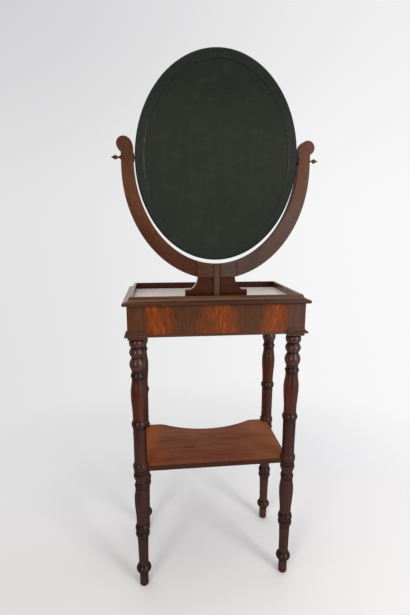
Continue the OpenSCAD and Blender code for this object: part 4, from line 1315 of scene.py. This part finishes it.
@dataclass
class Mirror(Assembly):
    """The oval mirror: frame, glass, packing and back board.

    Attributes:
        pivot: Middle of the pivots.
        lean: How far the mirror leans back at rest, in degrees.
        half_width: Half the oval's width.
        half_height: Half the oval's height.
        drop: How far the oval's middle lies below the pivots.
        band: Width of the frame that shows behind the mirror.
        seam_rub: Distances from the board's joint between which it is rubbed.
        rub_middle: Height of the rubbing's middle.
        rub_reach: Distances over and under it between which the rubbing ends.
        foxed_edge: Distances inside the oval's edge between which the foxing ends.
        board_edge: Radius of the back board's edge.
        frame_stain: Colours of the frame's stain, where it is thick and thin.
        board_stain: Colours of the back board's stain, where it is thick and thin.
        top_tint: Tint of the stain towards the top.
        smeared: Colour of the smears.
        bare: Colour of the wood where the stain has rubbed off.
        silver: Colour of the silvering.
        foxed: Colour of its dark spots.
        fluff: Colours of the packing.
    """

    pivot: Point = (0.0, -0.098, 1.235)
    lean: float = 4.7
    half_width: float = 0.2085
    half_height: float = 0.2545
    drop: float = 0.0035
    band: float = 0.025
    seam_rub: Span = (0.0045, 0.0004)
    rub_middle: float = 0.005
    rub_reach: Span = (0.10, 0.04)
    foxed_edge: Span = (0.06, 0.03)
    board_edge: float = 0.0005
    frame_stain: tuple[Colour, Colour] = (paint(31, 35, 32), paint(44, 48, 44))
    board_stain: tuple[Colour, Colour] = (paint(31, 35, 29), paint(44, 48, 41))
    top_tint: Colour = paint(208, 208, 206)
    smeared: Colour = paint(76, 80, 72)
    bare: Colour = paint(96, 82, 52)
    silver: Colour = paint(238, 240, 240)
    foxed: Colour = paint(96, 90, 80)
    fluff: tuple[Colour, Colour] = (paint(150, 138, 116), paint(186, 174, 150))

    def plane(self, recipe: Recipe) -> tuple[Signal, Signal, Signal]:
        """The point being shaded, measured from the oval's middle.

        Args:
            recipe: The material's recipe.

        Returns:
            How far it lies sideways, towards the glass and up the oval's plane.
        """
        x, y, z = self.pivot
        point = recipe.shift(recipe.place(), (-x, -y, -z))
        point = recipe.turned(point, Axis.X, -math.radians(self.lean))
        return recipe.split(recipe.shift(point, (0.0, 0.0, self.drop)))

    def inset(self, across: Signal, up: Signal) -> Signal:
        """About how far inside the oval's edge a point lies."""
        share = (across / self.half_width) ** 2.0 + (up / self.half_height) ** 2.0
        return (1.0 - share ** 0.5) * ((self.half_width + self.half_height) / 2)

    def stain(self, recipe: Recipe, colours: tuple[Colour, Colour]) -> tuple[Signal, ...]:
        """The dull dark stain of the mirror's back, rubbed along the board's joint.

        Args:
            recipe: The material's recipe.
            colours: The stain where it is thick and thin.

        Returns:
            Its colour, its roughness and its relief.
        """
        across, depth, up = self.plane(recipe)
        point = recipe.join(across, depth, up)
        clouds = STAIN_CLOUDS.read(recipe, point)
        grain = STAIN_GRAIN.read(recipe, point)
        grit = STAIN_GRIT.read(recipe, point)
        thin = recipe.step((clouds + grain) * 0.2 + grit * 0.6, 0.3, 0.7)
        colour = recipe.mix(thin, *colours)
        colour = recipe.tint(colour, self.top_tint, recipe.step(up, 0.04, 0.2))
        smears = recipe.step(SMEARS.read(recipe, point), 0.5, 0.8)
        colour = recipe.mix(smears * 0.16, colour, self.smeared)
        from_seam = abs(self.inset(across, up) - self.band) + clouds.about_zero(0.006)
        seam = recipe.step(from_seam, *self.seam_rub)
        sides = recipe.near(up, self.rub_middle, self.rub_reach)
        worn = recipe.step(RUBBED.read(recipe, point), 0.46, 0.58)
        more_left = recipe.step(across, 0.02, -0.02) * 0.2 + 0.8
        colour = recipe.mix(seam * sides * worn * more_left * 0.65, colour, self.bare)
        return colour, 0.66 + grain.about_zero(0.2), grain * 0.6 + grit * 0.4

    def back(self) -> bpy.types.Material:
        """The back board's stain.

        Returns:
            The material.
        """
        material, recipe = new_material("stained_back")
        colour, rough, height = self.stain(recipe, self.board_stain)
        self.dull(recipe, colour, rough, height, 0.0)
        return material

    def frame(self) -> bpy.types.Material:
        """The frame's finish, stained behind and polished in front.

        Returns:
            The material.
        """
        material, recipe = new_material("stained_frame")
        colour, rough, height = self.stain(recipe, self.frame_stain)
        _, depth, _ = self.plane(recipe)
        shine = recipe.step(depth, -0.002, 0.002)
        wood, _, streaks = LEG_MAHOGANY.figure(recipe, Grain.UPRIGHT, 12)
        colour = recipe.mix(shine, colour, wood)
        rough = rough * (1.0 - shine) + shine * (0.26 + streaks.about_zero(0.2))
        self.dull(recipe, colour, rough, height, shine * 0.4)
        return material

    def dull(
        self, recipe: Recipe, colour: Signal, rough: Signal, height: Signal, coat: Value
    ) -> None:
        """Makes the surface of a stained piece.

        Args:
            recipe: The material's recipe.
            colour: Its colour.
            rough: Its roughness.
            height: Its relief.
            coat: How thick its polish is.
        """
        shader = recipe.surface(
            colour,
            rough,
            Specular_IOR_Level=0.12,
            Coat_Weight=coat,
            Coat_Roughness=0.2,
            Normal=recipe.bump(height, 0.0003, 0.6),
        )
        recipe.finish(shader)

    def silvered(self) -> bpy.types.Material:
        """Old silvered glass, foxed towards its edge.

        Returns:
            The material.
        """
        material, recipe = new_material("silvered_glass")
        across, depth, up = self.plane(recipe)
        point = recipe.join(across, depth, up)
        haze = HAZE.read(recipe, point)
        damp = recipe.step(self.inset(across, up), *self.foxed_edge) * recipe.step(haze, 0.44, 0.6)
        spots = recipe.step(FOXING.read(recipe, point) + damp * 0.14, 0.7, 0.78)
        colour = recipe.mix(spots, self.silver, self.foxed)
        rough = 0.015 + spots * 0.4 + recipe.step(haze, 0.5, 0.8) * 0.02
        recipe.finish(recipe.surface(colour, rough, Metallic=1.0 - spots * 0.6))
        return material

    def felt(self) -> bpy.types.Material:
        """The soft packing behind the glass.

        Returns:
            The material.
        """
        material, recipe = new_material("felt_packing")
        tufts = FLUFF.read(recipe, recipe.place())
        colour = recipe.mix(tufts, *self.fluff)
        recipe.finish(recipe.surface(colour, 0.9, Normal=recipe.bump(tufts, 0.0005)))
        return material

    def dress(self) -> None:
        """Finishes the mirror."""
        self.cover("mirror_frame", self.frame(), eased=0)
        self.cover("mirror_back", self.back(), self.board_edge)
        self.cover("mirror_glass", self.silvered(), eased=0)
        self.cover("mirror_packing", self.felt(), eased=0)
        self.cover_all(("mirror_back_pins", "mirror_sockets"), IRON.material(), eased=0)


# ---- studio and camera ------------------------------------------------------------------


@dataclass(frozen=True)
class Softbox:
    """A rectangular lamp that faces the middle of the stand.

    Attributes:
        name: The light's name.
        place: Where it hangs.
        sides: Its width and height.
        watts: Its power.
    """

    name: str
    place: Point
    sides: Span
    watts: float

    def build(self, colour: Point, target: Point) -> None:
        """Hangs the lamp.

        Args:
            colour: Colour of its light.
            target: What it faces.
        """
        data = bpy.data.lights.new(self.name, "AREA")
        data.shape = "RECTANGLE"
        data.size, data.size_y = self.sides
        data.energy = self.watts
        data.color = colour
        light = bpy.data.objects.new(self.name, data)
        light.location = self.place
        aim = Vector(target) - Vector(self.place)
        light.rotation_euler = aim.to_track_quat("-Z", "Y").to_euler()
        light.visible_camera = False
        bpy.context.scene.collection.objects.link(light)


@dataclass
class Studio:
    """A pale floor that runs out into a pale background, and soft lights.

    Each pair of colours holds the one on the left and the one on the right.

    Attributes:
        reach: Radius of the floor.
        fade: Radii between which the floor gives way to the background.
        near: Colours of the floor in front.
        far: Colours of the floor behind.
        wall: Colours of the background at eye level.
        ceiling: Colours of the background above.
        ground: Colours of the background below.
        daylight: Strength of the even light from all sides.
        room: How bright the room behind the camera is in reflections, on the left and right.
        target: What the lamps face.
        lamp_colour: Colour of the lamps.
        lamps: The lamps.
    """

    reach: float = 5.0
    fade: Span = (0.6, 1.6)
    near: tuple[Colour, Colour] = (paint(226, 222, 223), paint(246, 244, 247))
    far: tuple[Colour, Colour] = (paint(240, 242, 246), paint(249, 250, 255))
    wall: tuple[Colour, Colour] = (paint(226, 226, 227), paint(249, 249, 249))
    ceiling: tuple[Colour, Colour] = (paint(206, 206, 208), paint(240, 240, 241))
    ground: tuple[Colour, Colour] = (paint(226, 225, 225), paint(249, 248, 249))
    daylight: float = 0.63
    room: Span = (0.06, 1.1)
    target: Point = (0.0, 0.0, 0.75)
    lamp_colour: Point = (1.0, 0.965, 0.915)
    lamps: tuple[Softbox, ...] = (
        Softbox("left_softbox", (-1.6, -2.6, 1.5), (0.85, 2.3), 34.5),
        Softbox("right_softbox", (1.8, -2.4, 1.6), (0.85, 2.3), 40.5),
        Softbox("top_softbox", (0.2, -0.1, 3.4), (3.0, 3.0), 35.0),
    )

    def build(self) -> None:
        """Makes floor, background and lights."""
        self.floor()
        self.background()
        for lamp in self.lamps:
            lamp.build(self.lamp_colour, self.target)
        log.info("studio: floor, background, %s", ", ".join(lamp.name for lamp in self.lamps))

    def floor(self) -> None:
        """Makes the floor, a disc that fades out at its rim."""
        mesh = bpy.data.meshes.new("studio_floor")
        disc = bmesh.new()
        bmesh.ops.create_circle(disc, cap_ends=True, segments=96, radius=self.reach)
        disc.to_mesh(mesh)
        disc.free()
        floor = bpy.data.objects.new("studio_floor", mesh)
        bpy.context.scene.collection.objects.link(floor)
        material, recipe = new_material("pale_floor")
        x, y, _ = recipe.split(recipe.place())
        # Darker on the left and in front: painted shade on the floor.
        near = recipe.mix(recipe.step(x, -0.9, 0.3), *self.near)
        far = recipe.mix(recipe.step(x, -1.2, 1.2), *self.far)
        colour = recipe.mix(recipe.step(y, -0.5, 0.7), near, far)
        cloth = recipe.node("ShaderNodeBsdfDiffuse", inputs={"Color": colour})
        clear = recipe.node("ShaderNodeBsdfTransparent")
        outside = recipe.step((x * x + y * y) ** 0.5, *self.fade)
        recipe.finish(recipe.node("ShaderNodeMixShader", inputs={0: outside, 1: cloth, 2: clear}))
        mesh.materials.append(material)

    def background(self) -> None:
        """Makes the world: even light, and a soft pale gradient to look at."""
        world = bpy.data.worlds.new("studio_world")
        bpy.context.scene.world = world
        world.use_nodes = True
        recipe = Recipe(world.node_tree)
        x, y, z = recipe.split(recipe.node("ShaderNodeTexCoord", output="Generated"))
        # Darker on the left and towards the ceiling: painted shade on the background.
        to_right = recipe.step(x, -0.45, 0.6)
        wall, ceiling, ground = (
            recipe.mix(to_right, *pair) for pair in (self.wall, self.ceiling, self.ground)
        )
        shown = recipe.mix(recipe.step(z, 0.0, 0.5), wall, ceiling)
        shown = recipe.mix(recipe.step(z, 0.05, -0.45), shown, ground)
        path = recipe.add("ShaderNodeLightPath").outputs
        camera, glossy, through = (
            Signal(recipe, path[f"Is {kind} Ray"]) for kind in ("Camera", "Glossy", "Transmission")
        )
        seen = recipe.most(camera, recipe.most(glossy, through))
        left, right = self.room
        room = recipe.step(x, -0.1, 0.45) * (right - left) + left
        strength = 1.0 - glossy * recipe.step(y, 0.15, -0.25) * (1.0 - room)
        daylight = (1.0 - x * x * 0.95) * self.daylight
        plain = {"Color": (1, 1, 1, 1), "Strength": daylight}
        even = recipe.node("ShaderNodeBackground", inputs=plain)
        pale = recipe.node("ShaderNodeBackground", inputs={"Color": shown, "Strength": strength})
        both = recipe.node("ShaderNodeMixShader", inputs={0: seen, 1: even, 2: pale})
        recipe.finish(both, "ShaderNodeOutputWorld")


@dataclass(frozen=True)
class Viewpoint:
    """The camera behind the stand.

    Attributes:
        place: Where the camera is.
        heading: How far it is turned towards +X, in degrees.
        down: How far it looks down, in degrees.
        roll: How far it is rolled, in degrees.
        focal_pixels: Its focal length in pixels of the picture.
        lowered: How far below the picture's middle its axis lies, in pixels.
        sensor: Height of its sensor, in millimetres.
    """

    place: Point = (-0.156, -1.1855, 1.0651)
    heading: float = 6.6
    down: float = 11.598
    roll: float = 0.189
    focal_pixels: float = 406.57
    lowered: float = 3.0
    sensor: float = 36.0

    def build(self) -> None:
        """Makes the scene's camera."""
        data = bpy.data.cameras.new("photographer")
        data.sensor_width = self.sensor
        data.lens = self.focal_pixels / PHOTO_HEIGHT * self.sensor
        data.shift_y = self.lowered / PHOTO_HEIGHT
        camera = bpy.data.objects.new("photographer", data)
        heading, down = math.radians(self.heading), math.radians(self.down)
        level = math.cos(down)
        ahead = Vector((math.sin(heading) * level, math.cos(heading) * level, -math.sin(down)))
        roll = Quaternion(ahead, -math.radians(self.roll))
        camera.location = self.place
        camera.rotation_euler = (roll @ ahead.to_track_quat("-Z", "Y")).to_euler()
        bpy.context.scene.collection.objects.link(camera)
        bpy.context.scene.camera = camera


def main() -> None:
    """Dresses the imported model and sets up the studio."""
    logging.basicConfig(level=logging.INFO, format="%(name)s: %(message)s")
    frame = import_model()
    for group in (Legs, Frieze, Tray, Shelf, Drawer, Yoke, Mirror):
        assembly = group(frame["nodes"])
        assembly.dress()
        log.info("%s: %s", group.__name__, ", ".join(assembly.dressed))
    Studio().build()
    Viewpoint().build()
    bpy.context.scene.view_settings.view_transform = "Standard"


if __name__ == "__main__":
    main()
